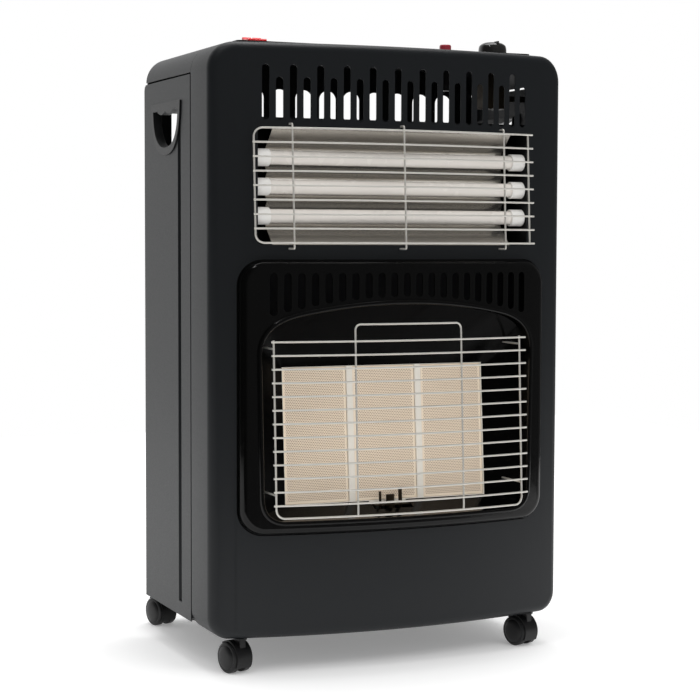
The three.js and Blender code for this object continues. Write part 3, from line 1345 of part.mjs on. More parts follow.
for (const [place, x, y] of [
  ["front_left", -CASTER_X, CASTER_FRONT_Y], ["front_right", CASTER_X, CASTER_FRONT_Y],
  ["rear_left", -CASTER_X, CASTER_REAR_Y], ["rear_right", CASTER_X, CASTER_REAR_Y],
]) {
  const caster = new THREE.Group();
  caster.position.set(x, y, 0);
  caster.rotation.z = rad(CASTER_SWIVEL);
  cabinet.add(caster);
  const prefix = `caster_${place}`;
  add(`${prefix}_stem`, casterStem(), zincSteel, caster);
  add(`${prefix}_hood`, casterHood(), blackPlastic, caster);
  const hub = new THREE.Group();
  hub.position.set(0, CASTER_TRAIL, WHEEL_RADIUS);
  caster.add(hub);
  add(`${prefix}_axle`, casterAxle(), zincSteel, hub);
  add(`${prefix}_wheel_r`, casterWheel(), blackPlastic, hub);
  add(`${prefix}_wheel_l`, casterWheel().mirror([1, 0, 0]), blackPlastic, hub);
}

// The origin goes under the middle of the whole heater.
cabinet.position.y = -new THREE.Box3().setFromObject(cabinet).getCenter(v3(0, 0, 0)).y;

export default heater;
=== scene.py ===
# %% [markdown]
# # Portable gas cabinet heater
# A charcoal steel cabinet on casters, with quartz lamps behind a wire guard above and a gas
# burner with ceramic plaques below. The packed CAD part is the frame: it says where every
# piece is. This notebook dresses it. Pressings get a dense, smooth skin with the same
# outline, wires become round, and every finish is a procedural material.

import math

import bmesh
import bpy
import numpy as np
from mathutils import Matrix, Vector
from mathutils.bvhtree import BVHTree
from mathutils.interpolate import poly_3d_calc


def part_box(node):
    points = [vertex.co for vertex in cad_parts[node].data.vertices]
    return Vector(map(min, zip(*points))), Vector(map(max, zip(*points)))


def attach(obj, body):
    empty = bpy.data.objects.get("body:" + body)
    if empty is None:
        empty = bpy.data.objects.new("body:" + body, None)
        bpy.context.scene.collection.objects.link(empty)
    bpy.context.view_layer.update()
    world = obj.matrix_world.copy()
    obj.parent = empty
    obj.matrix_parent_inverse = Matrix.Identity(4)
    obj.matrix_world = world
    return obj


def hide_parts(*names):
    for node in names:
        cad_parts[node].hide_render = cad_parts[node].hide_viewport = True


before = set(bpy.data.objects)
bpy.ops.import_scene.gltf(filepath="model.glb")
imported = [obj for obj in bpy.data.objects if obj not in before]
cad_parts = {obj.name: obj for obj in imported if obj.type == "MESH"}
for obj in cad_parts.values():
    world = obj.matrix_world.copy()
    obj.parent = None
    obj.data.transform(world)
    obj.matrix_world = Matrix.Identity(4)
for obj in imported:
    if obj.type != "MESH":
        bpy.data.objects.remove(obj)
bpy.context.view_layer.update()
MM = 0.001
TONGUE_REAR = 69.5  # the shell's rearmost edge, in drawing millimetres
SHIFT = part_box("front_shell")[1][1] - TONGUE_REAR * MM

# %% [markdown]
# ## Sizes
# The numbers below are millimetres, counted as on a drawing: x from the middle, z from the
# floor, y from the front face at its sides. They repeat the CAD part's own values, so a
# skin made here covers its solid exactly.

# %% Sizes of the cabinet
BODY_HALF, BODY_LOW, BODY_HIGH = 225.0, 42.0, 718.0
FACE_BOW = 33.0
TOP_CORNER, FOOT_CORNER, FACE_EDGE = 30.0, 24.0, 10.0
SHELL_DEPTH, SHELL_WALL, SHEET, GAP = 64.0, 1.5, 1.2, 0.3
TONGUE_INSET = SHELL_WALL + GAP
ROOT = "cabinet"
SIDES = ((1, "right"), (-1, "left"))


def face_y(x):
    """Depth of the bowed face at x."""
    return -FACE_BOW * (1 - (x / BODY_HALF) ** 2)


def place(points):
    """Drawing millimetres to the metres of the frame."""
    p = np.asarray(points, dtype=float) * MM
    p[..., 1] += SHIFT
    return p


print("bow", FACE_BOW, "mm over", 2 * BODY_HALF, "mm")

# %% [markdown]
# ## From points to pieces
# Every skin starts as a list of drawing points and a list of faces. Faces wind so that
# their normals point outwards, and `recalc_face_normals` makes sure of it.


# %% A mesh from points
def linked(name, data):
    """A new object in the scene."""
    obj = bpy.data.objects.new(name, data)
    bpy.context.scene.collection.objects.link(obj)
    return obj


def new_mesh(name, verts, faces, smooth_angle=35.0):
    """A mesh object from drawing points, closed, facing out, smooth up to an angle."""
    mesh = bpy.data.meshes.new(name)
    mesh.from_pydata([tuple(v) for v in place(verts)], [], [tuple(f) for f in faces])
    bm = bmesh.new()
    bm.from_mesh(mesh)
    bmesh.ops.remove_doubles(bm, verts=bm.verts, dist=2e-6)
    bmesh.ops.recalc_face_normals(bm, faces=bm.faces)
    bm.to_mesh(mesh)
    bm.free()
    mesh.shade_smooth()
    mesh.set_sharp_from_angle(angle=math.radians(smooth_angle))
    return linked(name, mesh)


print("one drawing point in metres", place([(BODY_HALF, 0, BODY_HIGH)])[0])

# %% [markdown]
# A pressing is a loft: rings of points, one after another, joined by quads. When an open
# loft ends on a bowed face, its cap is made of upright strips, so the face keeps its bow.


# %% Lofting rings
def ring_faces(ring_count, n, endless):
    """Quads between rings of n points."""
    faces = []
    for i in range(ring_count if endless else ring_count - 1):
        a, b = i * n, ((i + 1) % ring_count) * n
        faces += [(a + j, a + (j + 1) % n, b + (j + 1) % n, b + j) for j in range(n)]
    return faces


def strip_cap(first, n, flip):
    """Upright strips that close a ring whose lower and upper half run side by side."""
    strips = []
    for k in range(n // 2 - 1):
        q = (first + k, first + k + 1, first + n - 2 - k, first + n - 1 - k)
        strips.append(q[::-1] if flip else q)
    return strips


def ring_loft(name, rings, endless=False, smooth_angle=35.0):
    """A closed skin over rings of equal length."""
    n = len(rings[0])
    faces = ring_faces(len(rings), n, endless)
    if not endless:
        faces += strip_cap(0, n, True) + strip_cap((len(rings) - 1) * n, n, False)
    return new_mesh(name, np.concatenate(rings), faces, smooth_angle)


print("quads between two rings of 8 points:", len(ring_faces(2, 8, False)))

# %% [markdown]
# Round pieces are turned, as on a lathe: a profile goes round an axis. Other plain pieces
# are drawn out: an outline goes along an axis. Outlines are made of arcs and straight runs.


# %% Turned and drawn pieces
def lathe(name, profile, segments=48, axis="z", at=(0, 0, 0), smooth_angle=35.0):
    """A turned piece. The profile is (radius, distance) and starts and ends on the axis."""
    verts, faces, rows = [], [], []
    for r, h in profile:
        if r < 1e-6:
            rows.append([len(verts)])
            verts.append((0, 0, h))
            continue
        rows.append(list(range(len(verts), len(verts) + segments)))
        for k in range(segments):
            a = 2 * math.pi * (k + 0.5) / segments
            verts.append((r * math.cos(a), r * math.sin(a), h))
    for low, high in zip(rows, rows[1:]):
        for k in range(segments):
            corners = (low, k), (low, k + 1), (high, k + 1), (high, k)
            quad = [row[i % len(row)] for row, i in corners]
            faces.append(tuple(dict.fromkeys(quad)))
    p = np.array(verts)[:, {"z": [0, 1, 2], "y": [1, 2, 0], "x": [2, 0, 1]}[axis]]
    return new_mesh(name, p + np.array(at), [f for f in faces if len(f) > 2], smooth_angle)


def rod(name, r, low, high, segments, axis="z", at=(0, 0, 0)):
    """A plain cylinder."""
    return lathe(name, [(0, low), (r, low), (r, high), (0, high)], segments, axis, at)


def prism(name, outline, low, high, axis="z", smooth_angle=30.0):
    """An outline of (u, v) points drawn out along an axis."""
    n = len(outline)
    o = np.array(outline, dtype=float)
    ends = [np.column_stack([o, np.full(n, h)]) for h in (low, high)]
    p = np.concatenate(ends)
    p = {"z": p, "y": p[:, [0, 2, 1]], "x": p[:, [2, 0, 1]]}[axis]
    sides = [(i, (i + 1) % n, n + (i + 1) % n, n + i) for i in range(n)]
    caps = [tuple(range(n))[::-1], tuple(range(n, 2 * n))]
    return new_mesh(name, p, sides + caps, smooth_angle)


def arc(cx, cy, r, start, end, steps):
    """Points on an arc, angles in degrees."""
    angles = np.radians(np.linspace(start, end, steps + 1))
    return [(cx + r * math.cos(a), cy + r * math.sin(a)) for a in angles]


def rounded(x0, x1, y0, y1, r, steps=8):
    """A rectangle with rounded corners, anticlockwise."""
    return (arc(x1 - r, y0 + r, r, -90, 0, steps) + arc(x1 - r, y1 - r, r, 0, 90, steps)
            + arc(x0 + r, y1 - r, r, 90, 180, steps) + arc(x0 + r, y0 + r, r, 180, 270, steps))


print("points of a rounded rectangle", len(rounded(0, 10, 0, 10, 2)))

# %% [markdown]
# ## Cutting and joining
# A hole is a boolean with a tool of its shape, as a punch makes it. A modifier is baked at
# once: the evaluated mesh becomes the piece's own, and the modifier goes.


# %% Baking and booleans
def baked(obj):
    """The object's evaluated mesh as a plain object with no modifiers."""
    deps = bpy.context.evaluated_depsgraph_get()
    mesh = bpy.data.meshes.new_from_object(obj.evaluated_get(deps))
    obj.modifiers.clear()
    old = obj.data
    obj.data = mesh
    if old.users == 0:
        bpy.data.meshes.remove(old)
    mesh.name = obj.name
    return obj


def drop(*objects):
    """Removes helper objects."""
    for o in objects:
        bpy.data.objects.remove(o, do_unlink=True)


def combine(obj, operation, *tools):
    """Cuts or joins with exact booleans and bakes each result. The tools are used up."""
    for tool in tools:
        mod = obj.modifiers.new("boolean", "BOOLEAN")
        mod.operation, mod.solver, mod.object = operation, "EXACT", tool
        baked(obj)
    drop(*tools)


def cut(obj, *tools):
    combine(obj, "DIFFERENCE", *tools)


def fuse(obj, *tools):
    combine(obj, "UNION", *tools)


test_plate = prism("test_plate", rounded(0, 20, 0, 20, 2), 0, 2)
before = len(test_plate.data.polygons)
cut(test_plate, rod("test_punch", 4, -1, 3, 24, at=(10, 10, 0)))
print("a punched hole adds faces:", len(test_plate.data.polygons) - before)
drop(test_plate)

# %% [markdown]
# ### Cutting without scars
# A boolean leaves long thin triangles round a slot, and on a bowed, glossy face they shade
# as dark streaks. The cure is to keep the shape of the cut mesh and take the shading from
# the uncut one: every corner of the cut skin looks up the nearest place on the clean skin
# and copies its normal. Walls of the holes keep their own flat normals.


# %% Shading a cut skin like the uncut one
def shade_like(obj, source, limit=40.0):
    """Gives a cut skin the corner normals of the clean mesh it was cut from."""
    normals = np.zeros(len(source.loops) * 3)
    source.corner_normals.foreach_get("vector", normals)
    normals = normals.reshape(-1, 3)
    tree = BVHTree.FromPolygons([v.co for v in source.vertices],
                                [tuple(p.vertices) for p in source.polygons])
    mesh = obj.data
    mesh.shade_smooth()
    out = [None] * len(mesh.loops)
    near = math.cos(math.radians(limit))
    for poly in mesh.polygons:
        flat = poly.normal
        middle = tree.find_nearest(poly.center)
        on_skin = middle[3] < 3e-4 and source.polygons[middle[2]].normal.dot(flat) > near
        for li in poly.loop_indices:
            out[li] = flat
            if not on_skin:
                continue
            co = mesh.vertices[mesh.loops[li].vertex_index].co
            spot, _, index, _ = tree.find_nearest(co.lerp(poly.center, 0.02))
            face = source.polygons[index]
            weights = poly_3d_calc([source.vertices[i].co for i in face.vertices], spot)
            n = Vector()
            for w, corner in zip(weights, face.loop_indices):
                n += Vector(normals[corner]) * w
            if n.length > 0 and n.normalized().dot(flat) > near:
                out[li] = n.normalized()
    mesh.normals_split_custom_set([tuple(n) for n in out])


def cut_cleanly(obj, *tools):
    """Cuts a skin and keeps the shading that it had before."""
    clean = obj.data.copy()
    cut(obj, *tools)
    shade_like(obj, clean)
    bpy.data.meshes.remove(clean)


print("corners take the clean skin's normal within 40 degrees")

# %% [markdown]
# ## Bevelled edges
# No real edge is perfectly sharp. A small bevel catches a thin line of light, which is what
# makes a pressing or a moulding read as solid. `ease` adds one and bakes it.


# %% Bevel helper
def ease(obj, width, segments=2, angle=35.0):
    """Rounds the edges sharper than an angle."""
    mod = obj.modifiers.new("ease", "BEVEL")
    mod.width, mod.segments = width * MM, segments
    mod.limit_method, mod.angle_limit = "ANGLE", math.radians(angle)
    baked(obj)
    obj.data.shade_smooth()
    obj.data.set_sharp_from_angle(angle=math.radians(angle))
    level = obj.modifiers.new("level", "WEIGHTED_NORMAL")
    level.keep_sharp = True
    baked(obj)
    return obj


def cad_copy(node, dissolve=0.3):
    """A merged copy of a CAD node, ready for bevels, its flat faces in one piece."""
    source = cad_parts[node]
    mesh = source.data.copy()
    mesh.materials.clear()
    mesh.transform(source.matrix_world)
    bm = bmesh.new()
    bm.from_mesh(mesh)
    bmesh.ops.remove_doubles(bm, verts=bm.verts, dist=3e-6)
    bmesh.ops.dissolve_limit(bm, angle_limit=math.radians(dissolve), verts=bm.verts,
                             edges=bm.edges)
    bm.to_mesh(mesh)
    bm.free()
    return linked(node + "_skin", mesh)


dressed, slot_of = {}, {}


def dress(obj, material, node, body=ROOT):
    """Gives a finished piece its material and its body, and hides the CAD node it stands for."""
    obj.data.materials.clear()
    obj.data.materials.append(material)
    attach(obj, body)
    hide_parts(node)
    dressed[obj.name] = len(obj.data.polygons)
    return obj


def from_cad(node, width, segments, material):
    """The CAD solid with eased edges, dressed."""
    return dress(ease(cad_copy(node), width, segments), material, node)


print("CAD nodes to dress", len(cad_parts))

# %% [markdown]
# ## Finishes
# Every finish is a Principled shader. What is the same all over a surface is set on the
# shader's own socket. What varies, such as the orange peel of powder paint or the fine
# grain of a moulding, comes from noise read on Object coordinates, so it stays put on the
# piece. The noise drives a little roughness and a little bump, and no more: at arm's
# length a finish is recognised by how its highlight breaks up.

# %% [markdown]
# ### Node trees in few lines
# Node trees are long when they are written out. A `Value` is a socket that takes part in
# plain arithmetic, so a formula reads as one. `Wiring` adds a node in one line.


# %% Sockets in plain arithmetic
class Value:
    """A node's output that takes part in plain arithmetic: a + b makes an Add node."""

    def __init__(self, wires, socket):
        self.wires, self.socket = wires, socket


for sign, op in (("add", "ADD"), ("sub", "SUBTRACT"), ("mul", "MULTIPLY"), ("truediv", "DIVIDE"),
                 ("mod", "MODULO"), ("pow", "POWER"), ("gt", "GREATER_THAN")):
    setattr(Value, f"__{sign}__", lambda a, b, op=op: a.wires.math(op, a, b))
    setattr(Value, f"__r{sign}__", lambda a, b, op=op: a.wires.math(op, b, a))
print("plain signs for nodes: + - * / % ** >")


# %% Adding nodes
class Wiring:
    """Short ways to add nodes to a tree. A node stands for its first output."""

    def __init__(self, tree):
        self.nodes, self.links = tree.nodes, tree.links
        if tree.type == "GEOMETRY":
            self.inputs = self.nodes.new("NodeGroupInput").outputs

    def __getitem__(self, name):
        return Value(self, self.inputs[name])

    def put(self, value, socket):
        if isinstance(value, Value):
            value = value.socket
        if isinstance(value, bpy.types.Node):
            value = value.outputs[0]
        if isinstance(value, bpy.types.NodeSocket):
            self.links.new(value, socket)
        else:
            socket.default_value = value

    def node(self, kind, settings=None, **values):
        made = self.nodes.new(kind)
        for key, value in (settings or {}).items():
            setattr(made, key, value)
        for key, value in values.items():
            self.put(value, made.inputs[key.replace("_", " ")])
        return made

    def outputs(self, kind):
        return {socket.name: Value(self, socket) for socket in self.node(kind).outputs}

    def math(self, op, *values):
        made = self.node("ShaderNodeMath", {"operation": op})
        for value, socket in zip(values, made.inputs):
            self.put(value, socket)
        return Value(self, made.outputs[0])

    def ramp(self, value, low, high, first=0.0, last=1.0):
        """Maps low to high onto first to last."""
        made = self.node("ShaderNodeMapRange", Value=value, From_Min=low, From_Max=high,
                         To_Min=first, To_Max=last)
        return Value(self, made.outputs[0])

    def xyz(self, vector):
        parts = self.node("ShaderNodeSeparateXYZ")
        self.put(vector, parts.inputs[0])
        return [Value(self, socket) for socket in parts.outputs]

    def vector(self, x, y, z):
        made = self.node("ShaderNodeCombineXYZ")
        for value, socket in zip((x, y, z), made.inputs):
            self.put(value, socket)
        return made

    def finish(self, geometry, material):
        """Real geometry with its material, at the end of a geometry tree."""
        real = self.node("GeometryNodeRealizeInstances", Geometry=geometry)
        paint = self.node("GeometryNodeSetMaterial", Geometry=real, Material=material)
        self.put(paint, self.nodes.new("NodeGroupOutput").inputs[0])


print("short ways to add:", [name for name in vars(Wiring) if name[0] != "_"])

# %% [markdown]
# ### Patterns
# A pattern drives one of the shader's sockets: a range of roughness, a mix of two colours,
# or the height of a relief.


# %% Colours and patterns
def srgb(r, g, b):
    """An 8-bit colour as linear values."""
    parts = [c / 255 for c in (r, g, b)]
    return (*(c / 12.92 if c <= 0.04045 else ((c + 0.055) / 1.055) ** 2.4 for c in parts), 1.0)


def shader_of(mat):
    return mat.node_tree.nodes["Principled BSDF"].inputs


def noise(mat, scale, detail=2.0, stretch=(1, 1, 1)):
    """Noise on Object coordinates, stretched along the axes."""
    w = Wiring(mat.node_tree)
    placed = w.node("ShaderNodeMapping", Scale=stretch,
                    Vector=w.outputs("ShaderNodeTexCoord")["Object"])
    return w.node("ShaderNodeTexNoise", Scale=scale, Detail=detail, Vector=placed)


def vary(mat, pattern, socket, low, high):
    """Maps a noise to a range on one of the shader's sockets."""
    w = Wiring(mat.node_tree)
    w.put(w.ramp(pattern, 0.3, 0.7, low, high), shader_of(mat)[socket])


def tint(mat, pattern, dark, light):
    """Mixes two colours by a 0 to 1 pattern."""
    w = Wiring(mat.node_tree)
    mix = w.node("ShaderNodeMix", {"data_type": "RGBA"})
    for value, socket in ((pattern, 0), (dark, 6), (light, 7)):
        w.put(value, mix.inputs[socket])
    w.put(mix.outputs[2], shader_of(mat)["Base Color"])


def relief(mat, height, strength, depth):
    """Bump from a height pattern, its depth in millimetres."""
    w = Wiring(mat.node_tree)
    bump = w.node("ShaderNodeBump", Strength=strength, Distance=depth * MM, Height=height)
    w.put(bump, shader_of(mat)["Normal"])


print("mid grey 128 in linear light", round(srgb(128, 128, 128)[0], 4))

# %% [markdown]
# ### One function for a finish
# A finish has a colour, a range of roughness and a grain. Each finish is listed with the name
# of its slot, and some finishes share a slot.

# %% A finish
SHARED_SLOTS = {"dish_enamel": "black_enamel", "pale_zinc": "zinc_steel",
                "black_zinc": "zinc_steel", "sooted_brass": "brass",
                "handle_plastic": "black_plastic", "wheel_plastic": "black_plastic"}


def finish(name, color, rough, metal=0.0, specular=0.5, coat=0.0, grain=None, bump=None):
    """A Principled material. With a grain, which is a noise's settings, rough is a range."""
    mat = bpy.data.materials.new(name)
    slot_of[mat.name] = SHARED_SLOTS.get(name, name)
    mat.use_nodes = True
    mat.diffuse_color = color
    for socket, value in (("Base Color", color), ("Metallic", metal), ("Coat Weight", coat),
                          ("Specular IOR Level", specular)):
        shader_of(mat)[socket].default_value = value
    if not grain:
        shader_of(mat)["Roughness"].default_value = rough
        return mat
    pattern = noise(mat, *grain)
    vary(mat, pattern, "Roughness", *rough)
    if bump:
        relief(mat, pattern, *bump)
    return mat


print("finishes that share a slot", len(SHARED_SLOTS))

# %% [markdown]
# ### Painted and enamelled steel
# The cabinet has charcoal powder paint: satin, with a faint orange peel. The burner
# surround is vitreous enamel, which is glass fused on steel, so it is much darker and
# mirrors the room. Heat-proof paint inside is matt.

# %% Painted finishes
charcoal_paint = finish("charcoal_paint", srgb(19, 22, 25), (0.42, 0.5), specular=0.33,
                        grain=(900,), bump=(0.12, 0.05))
black_enamel = finish("black_enamel", srgb(5, 5, 5), (0.08, 0.14), specular=0.22,
                      grain=(120,), bump=(0.04, 0.1))
dish_enamel = finish("dish_enamel", srgb(4, 4, 4), (0.13, 0.2), specular=0.05, grain=(90,))
soot_black = finish("soot_black", srgb(20, 20, 21), (0.6, 0.78), specular=0.3, grain=(500,))
grey_plate = finish("grey_plate", srgb(50, 51, 53), (0.36, 0.52), specular=0.3, grain=(60, 4))
print("charcoal", [round(c, 4) for c in charcoal_paint.diffuse_color[:3]])

# %% [markdown]
# ### Bright metal
# Chromed wire is smooth enough to need only its colour. The reflector is rolled sheet, so
# its grain runs along the tubes: the noise is stretched along x. Zinc and brass are duller.

# %% Metal finishes
ROLLED = (0.02, 1, 1)
bright_wire = finish("bright_wire", srgb(226, 223, 216), 0.3, metal=0.55)
polished_reflector = finish("polished_reflector", srgb(210, 206, 199), (0.1, 0.24), metal=0.85,
                            grain=(700, 3, ROLLED), bump=(0.06, 0.03))
zinc_steel = finish("zinc_steel", srgb(208, 207, 203), (0.3, 0.48), metal=0.85, grain=(150, 3))
pale_zinc = finish("pale_zinc", srgb(248, 242, 231), (0.42, 0.6), grain=(150, 3))
brass = finish("brass", srgb(205, 176, 110), (0.24, 0.38), metal=1.0, grain=(300,))
# This finish is brass darkened almost to black, for the pilot, the gas rail and the valve.
sooted_brass = finish("sooted_brass", srgb(62, 54, 42), (0.42, 0.6), metal=0.8, grain=(260,))
# The caster stems are made almost black as painted shade: they stand in for the shade where the
# hood meets the cabinet.
black_zinc = finish("black_zinc", srgb(36, 36, 37), (0.34, 0.48), metal=0.6, grain=(260,))
print("wire", [round(c, 2) for c in bright_wire.diffuse_color[:3]])

# %% [markdown]
# ### Ceramics and quartz
# A burner plaque is a porous ceramic tile with thousands of fine gas holes. At this scale
# they are a pattern, not geometry: two square grids, one set half a step off the other, give
# the offset rows. The distance to the nearest grid point draws the dots, which darken the tile
# as painted shade inside the holes and dent it slightly. A plain margin runs round every tile.

# %% Ceramic finishes
TILE_PITCH, TILE_HALF_X, TILE_HALF_Z, TILE_Z = 0.0885, 0.040, 0.079, 0.2695
HOLE_PITCH, HOLE_RADIUS, PLAIN_MARGIN = 0.0022, 0.00066, 0.003


def gas_holes(mat, dark, light):
    """Round holes as darker dots of painted shade, in rows offset by half a pitch, with a plain
    margin round each tile.
    """
    w = Wiring(mat.node_tree)
    x, _, z = w.xyz(w.outputs("ShaderNodeTexCoord")["Object"])
    row = HOLE_PITCH * math.sqrt(3)

    def wrap(value, step):
        return w.math("WRAP", value, step / 2, -step / 2)

    def to_grid(shift):
        u, v = wrap(x + shift * HOLE_PITCH, HOLE_PITCH), wrap(z + shift * row, row)
        return w.math("SQRT", u ** 2 + v ** 2)

    nearest = w.math("MINIMUM", to_grid(0.0), to_grid(0.5))
    past_x = w.math("ABSOLUTE", wrap(x, TILE_PITCH)) - TILE_HALF_X
    past_z = w.math("ABSOLUTE", z - TILE_Z) - TILE_HALF_Z
    plain = w.math("MAXIMUM", past_x, past_z) > -PLAIN_MARGIN
    # The dots are painted shade: they darken the tile where shade falls inside each hole.
    hole_shade = w.ramp(nearest, HOLE_RADIUS * 0.75, HOLE_RADIUS * 1.15)
    tile = w.math("MAXIMUM", hole_shade, plain)
    tint(mat, tile, dark, light)
    relief(mat, tile, 0.4, 0.3)


plaque_ceramic = finish("plaque_ceramic", srgb(232, 216, 196), 0.9, specular=0.2)
# The darker colour is painted shade inside the gas holes, and the lighter one is the tile.
gas_holes(plaque_ceramic, srgb(160, 128, 100), srgb(252, 236, 214))
white_ceramic = finish("white_ceramic", srgb(250, 248, 244), 0.35)
quartz = finish("quartz", srgb(242, 236, 229), (0.18, 0.3), coat=0.3, grain=(80,))
print("hole pitch", HOLE_PITCH, "hole radius", HOLE_RADIUS)

# %% [markdown]
# ### Plastics
# The handles, control panel, knob and wheels are moulded. Moulds are spark-eroded, which
# leaves an even grain on black parts. The knob and switches are polished.

# %% Plastic finishes
black_plastic = finish("black_plastic", srgb(17, 17, 18), (0.36, 0.5), specular=0.35,
                       grain=(1400,), bump=(0.1, 0.03))
handle_plastic = finish("handle_plastic", srgb(22, 23, 24), (0.4, 0.52), specular=0.4,
                        grain=(900,))
wheel_plastic = finish("wheel_plastic", srgb(20, 20, 21), (0.36, 0.5), specular=0.35,
                       grain=(900,))
knob_plastic = finish("knob_plastic", srgb(30, 30, 29), 0.16)
red_plastic = finish("red_plastic", srgb(214, 18, 24), 0.22)
dark_red_plastic = finish("dark_red_plastic", srgb(150, 38, 52), 0.28)
print("red", [round(c, 2) for c in red_plastic.diffuse_color[:3]])

# %% [markdown]
# ## The bowed front shell
# The front is one deep-drawn pressing: a face that bows forward, a rolled edge all round,
# and a rear edge stepped inwards so the side panels can overlap it. It is lofted from rings.
# Each ring is the rounded outline drawn in by some inset, at a depth that follows the bow.


# %% Rings of a bowed plate
FACE_STEPS, ARC_STEPS, EDGE_STEPS = 48, 10, 8


def corner_drop(x, half, corner):
    past = max(0.0, abs(x) - (half - corner))
    return corner - math.sqrt(max(0.0, corner ** 2 - past ** 2))


def plate_ring(plate, inset, y):
    """Ring of points on a rounded plate, drawn in by inset, its depth given by y(x)."""
    half, low, high, foot, head = plate
    reach = half - inset
    foot, head = max(foot - inset, 0.5), max(head - inset, 0.5)
    corner = max(foot, head)
    turn = [reach - corner + corner * math.sin((i + 1) / ARC_STEPS * math.pi / 2)
            for i in range(ARC_STEPS)]
    flat = [(reach - corner) * (2 * i / FACE_STEPS - 1) for i in range(FACE_STEPS + 1)]
    xs = [-x for x in reversed(turn)] + flat + turn
    lower = [(x, y(x), low + inset + corner_drop(x, reach, foot)) for x in xs]
    upper = [(x, y(x), high - inset - corner_drop(x, reach, head)) for x in xs]
    return lower + upper[::-1]


def rolled_edge(plate, front, edge):
    """Rings of an edge rolled round into the bowed face, ending on the face."""
    rings = []
    for i in range(EDGE_STEPS + 1):
        a = i / EDGE_STEPS * math.pi / 2
        depth = edge * (1 - math.sin(a))
        rings.append(plate_ring(plate, edge * (1 - math.cos(a)), lambda x, d=depth: front(x) + d))
    return rings


def shrink(plate, by):
    half, low, high, foot, head = plate
    return (half - by, low + by, high - by, foot - by, head - by)


shell_plate = (BODY_HALF, BODY_LOW, BODY_HIGH, FOOT_CORNER, TOP_CORNER)
bezel_plate = (194.0, 162.0, 473.0, 28.0, 28.0)
inner = shrink(shell_plate, SHELL_WALL)
seam = [(SHELL_WALL, SHELL_DEPTH - 6), (TONGUE_INSET + SHEET, SHELL_DEPTH - 2),
        (TONGUE_INSET + SHEET, TONGUE_REAR), (TONGUE_INSET, TONGUE_REAR),
        (TONGUE_INSET, SHELL_DEPTH), (0.0, SHELL_DEPTH)]
rings = rolled_edge(inner, lambda x: face_y(x) + SHELL_WALL, FACE_EDGE - SHELL_WALL)[::-1]
rings += [plate_ring(shell_plate, inset, lambda x, y=y: y) for inset, y in seam]
rings += rolled_edge(shell_plate, face_y, FACE_EDGE)
shell = ring_loft("front_shell_skin", rings)
print("shell faces", len(shell.data.polygons))

# %% [markdown]
# ### Trees with named inputs
# What repeats is made by Geometry Nodes. A tree gets a named input for each size, so the
# same tree can be run with other numbers. An input is set by its socket's identifier before
# the object is first evaluated, and the result is baked to a plain mesh.


# %% Making and running a tree
def new_tree(name, counts, sizes):
    """An empty geometry tree with named inputs."""
    tree = bpy.data.node_groups.new(name, "GeometryNodeTree")
    for kind, labels in (("Geometry", ["Geometry"]), ("Int", counts), ("Float", sizes),
                         ("Material", ["Material"])):
        for label in labels:
            tree.interface.new_socket(label, in_out="INPUT", socket_type="NodeSocket" + kind)
    tree.interface.new_socket("Geometry", in_out="OUTPUT", socket_type="NodeSocketGeometry")
    return tree


def run_tree(tree, name, values, source=None):
    """Runs a geometry tree on a mesh and returns the plain result."""
    obj = linked(name, source or bpy.data.meshes.new(name))
    mod = obj.modifiers.new(tree.name, "NODES")
    mod.node_group = tree
    for item in tree.interface.items_tree:
        if item.in_out == "INPUT" and item.name in values:
            mod[item.identifier] = values[item.name]
    return baked(obj)


print("kinds of named input: geometry, counts, sizes in metres, material")

# %% [markdown]
# ### Rows of slots
# Air slots, grille slots and the arched slots at the rear are all rows of one shape, so one
# tree makes the punches for all three. It sets a cylinder on each point of a row, then
# pulls the upper half of every cylinder up to the slot's head and the lower half down to
# its foot. Heads may alternate, feet may follow an arch, and a foot may be flat.

# %% Geometry Nodes tree for slot punches
slot_tree = new_tree("slot_row", ("Count", "Sides"), (
    "Pitch", "Width", "Low", "High", "High odd", "Arch radius", "Follow arch", "Flat foot",
    "Front", "Depth"))
w = Wiring(slot_tree)
start = (w["Count"] - 1) * (w["Pitch"] * -0.5)
row = w.node("GeometryNodeMeshLine", {"mode": "OFFSET"}, Count=w["Count"],
             Start_Location=w.vector(start, 0, 0), Offset=w.vector(w["Pitch"], 0, 0))
tagged = w.node("GeometryNodeCaptureAttribute", {"domain": "POINT"})
tagged.capture_items.new("FLOAT", "order")
w.put(row, tagged.inputs["Geometry"])
w.put(w.node("GeometryNodeInputIndex"), tagged.inputs["order"])
radius = w["Width"] * 0.5
punch = w.node("GeometryNodeMeshCylinder", {"fill_type": "NGON"}, Vertices=w["Sides"],
               Radius=radius, Depth=w["Depth"])
spun = w.node("GeometryNodeTransform", Geometry=punch,
              Rotation=w.vector(0, 0, math.pi / w["Sides"]))
laid = w.node("GeometryNodeTransform", Geometry=spun, Rotation=(math.pi / 2, 0, 0))
moved = w.node("GeometryNodeTransform", Geometry=laid,
               Translation=w.vector(0, w["Front"] + w["Depth"] * 0.5, 0))
punches = w.node("GeometryNodeInstanceOnPoints", Points=tagged, Instance=moved)
loose = w.node("GeometryNodeRealizeInstances", Geometry=punches)
x, y, z = w.xyz(w.node("GeometryNodeInputPosition"))
order = Value(w, tagged.outputs["order"])
seat = order * w["Pitch"] + start
upper = z > 0
head = w["High"] + order % 2 * (w["High odd"] - w["High"])
rise = w.math("SQRT", w["Arch radius"] ** 2 - seat ** 2)
foot = w["Low"] - w["Follow arch"] * (w["Arch radius"] - rise)
low_z = foot + (1 - w["Flat foot"]) * (z + radius)
high_z = head + z - radius
new_z = upper * high_z + (1 - upper) * low_z
shaped = w.node("GeometryNodeSetPosition", Geometry=loose, Position=w.vector(x, y, new_z))
w.finish(shaped, w["Material"])
print("slot tree nodes", len(slot_tree.nodes))

# %% [markdown]
# The air slots are the first row. Every second one is shorter.


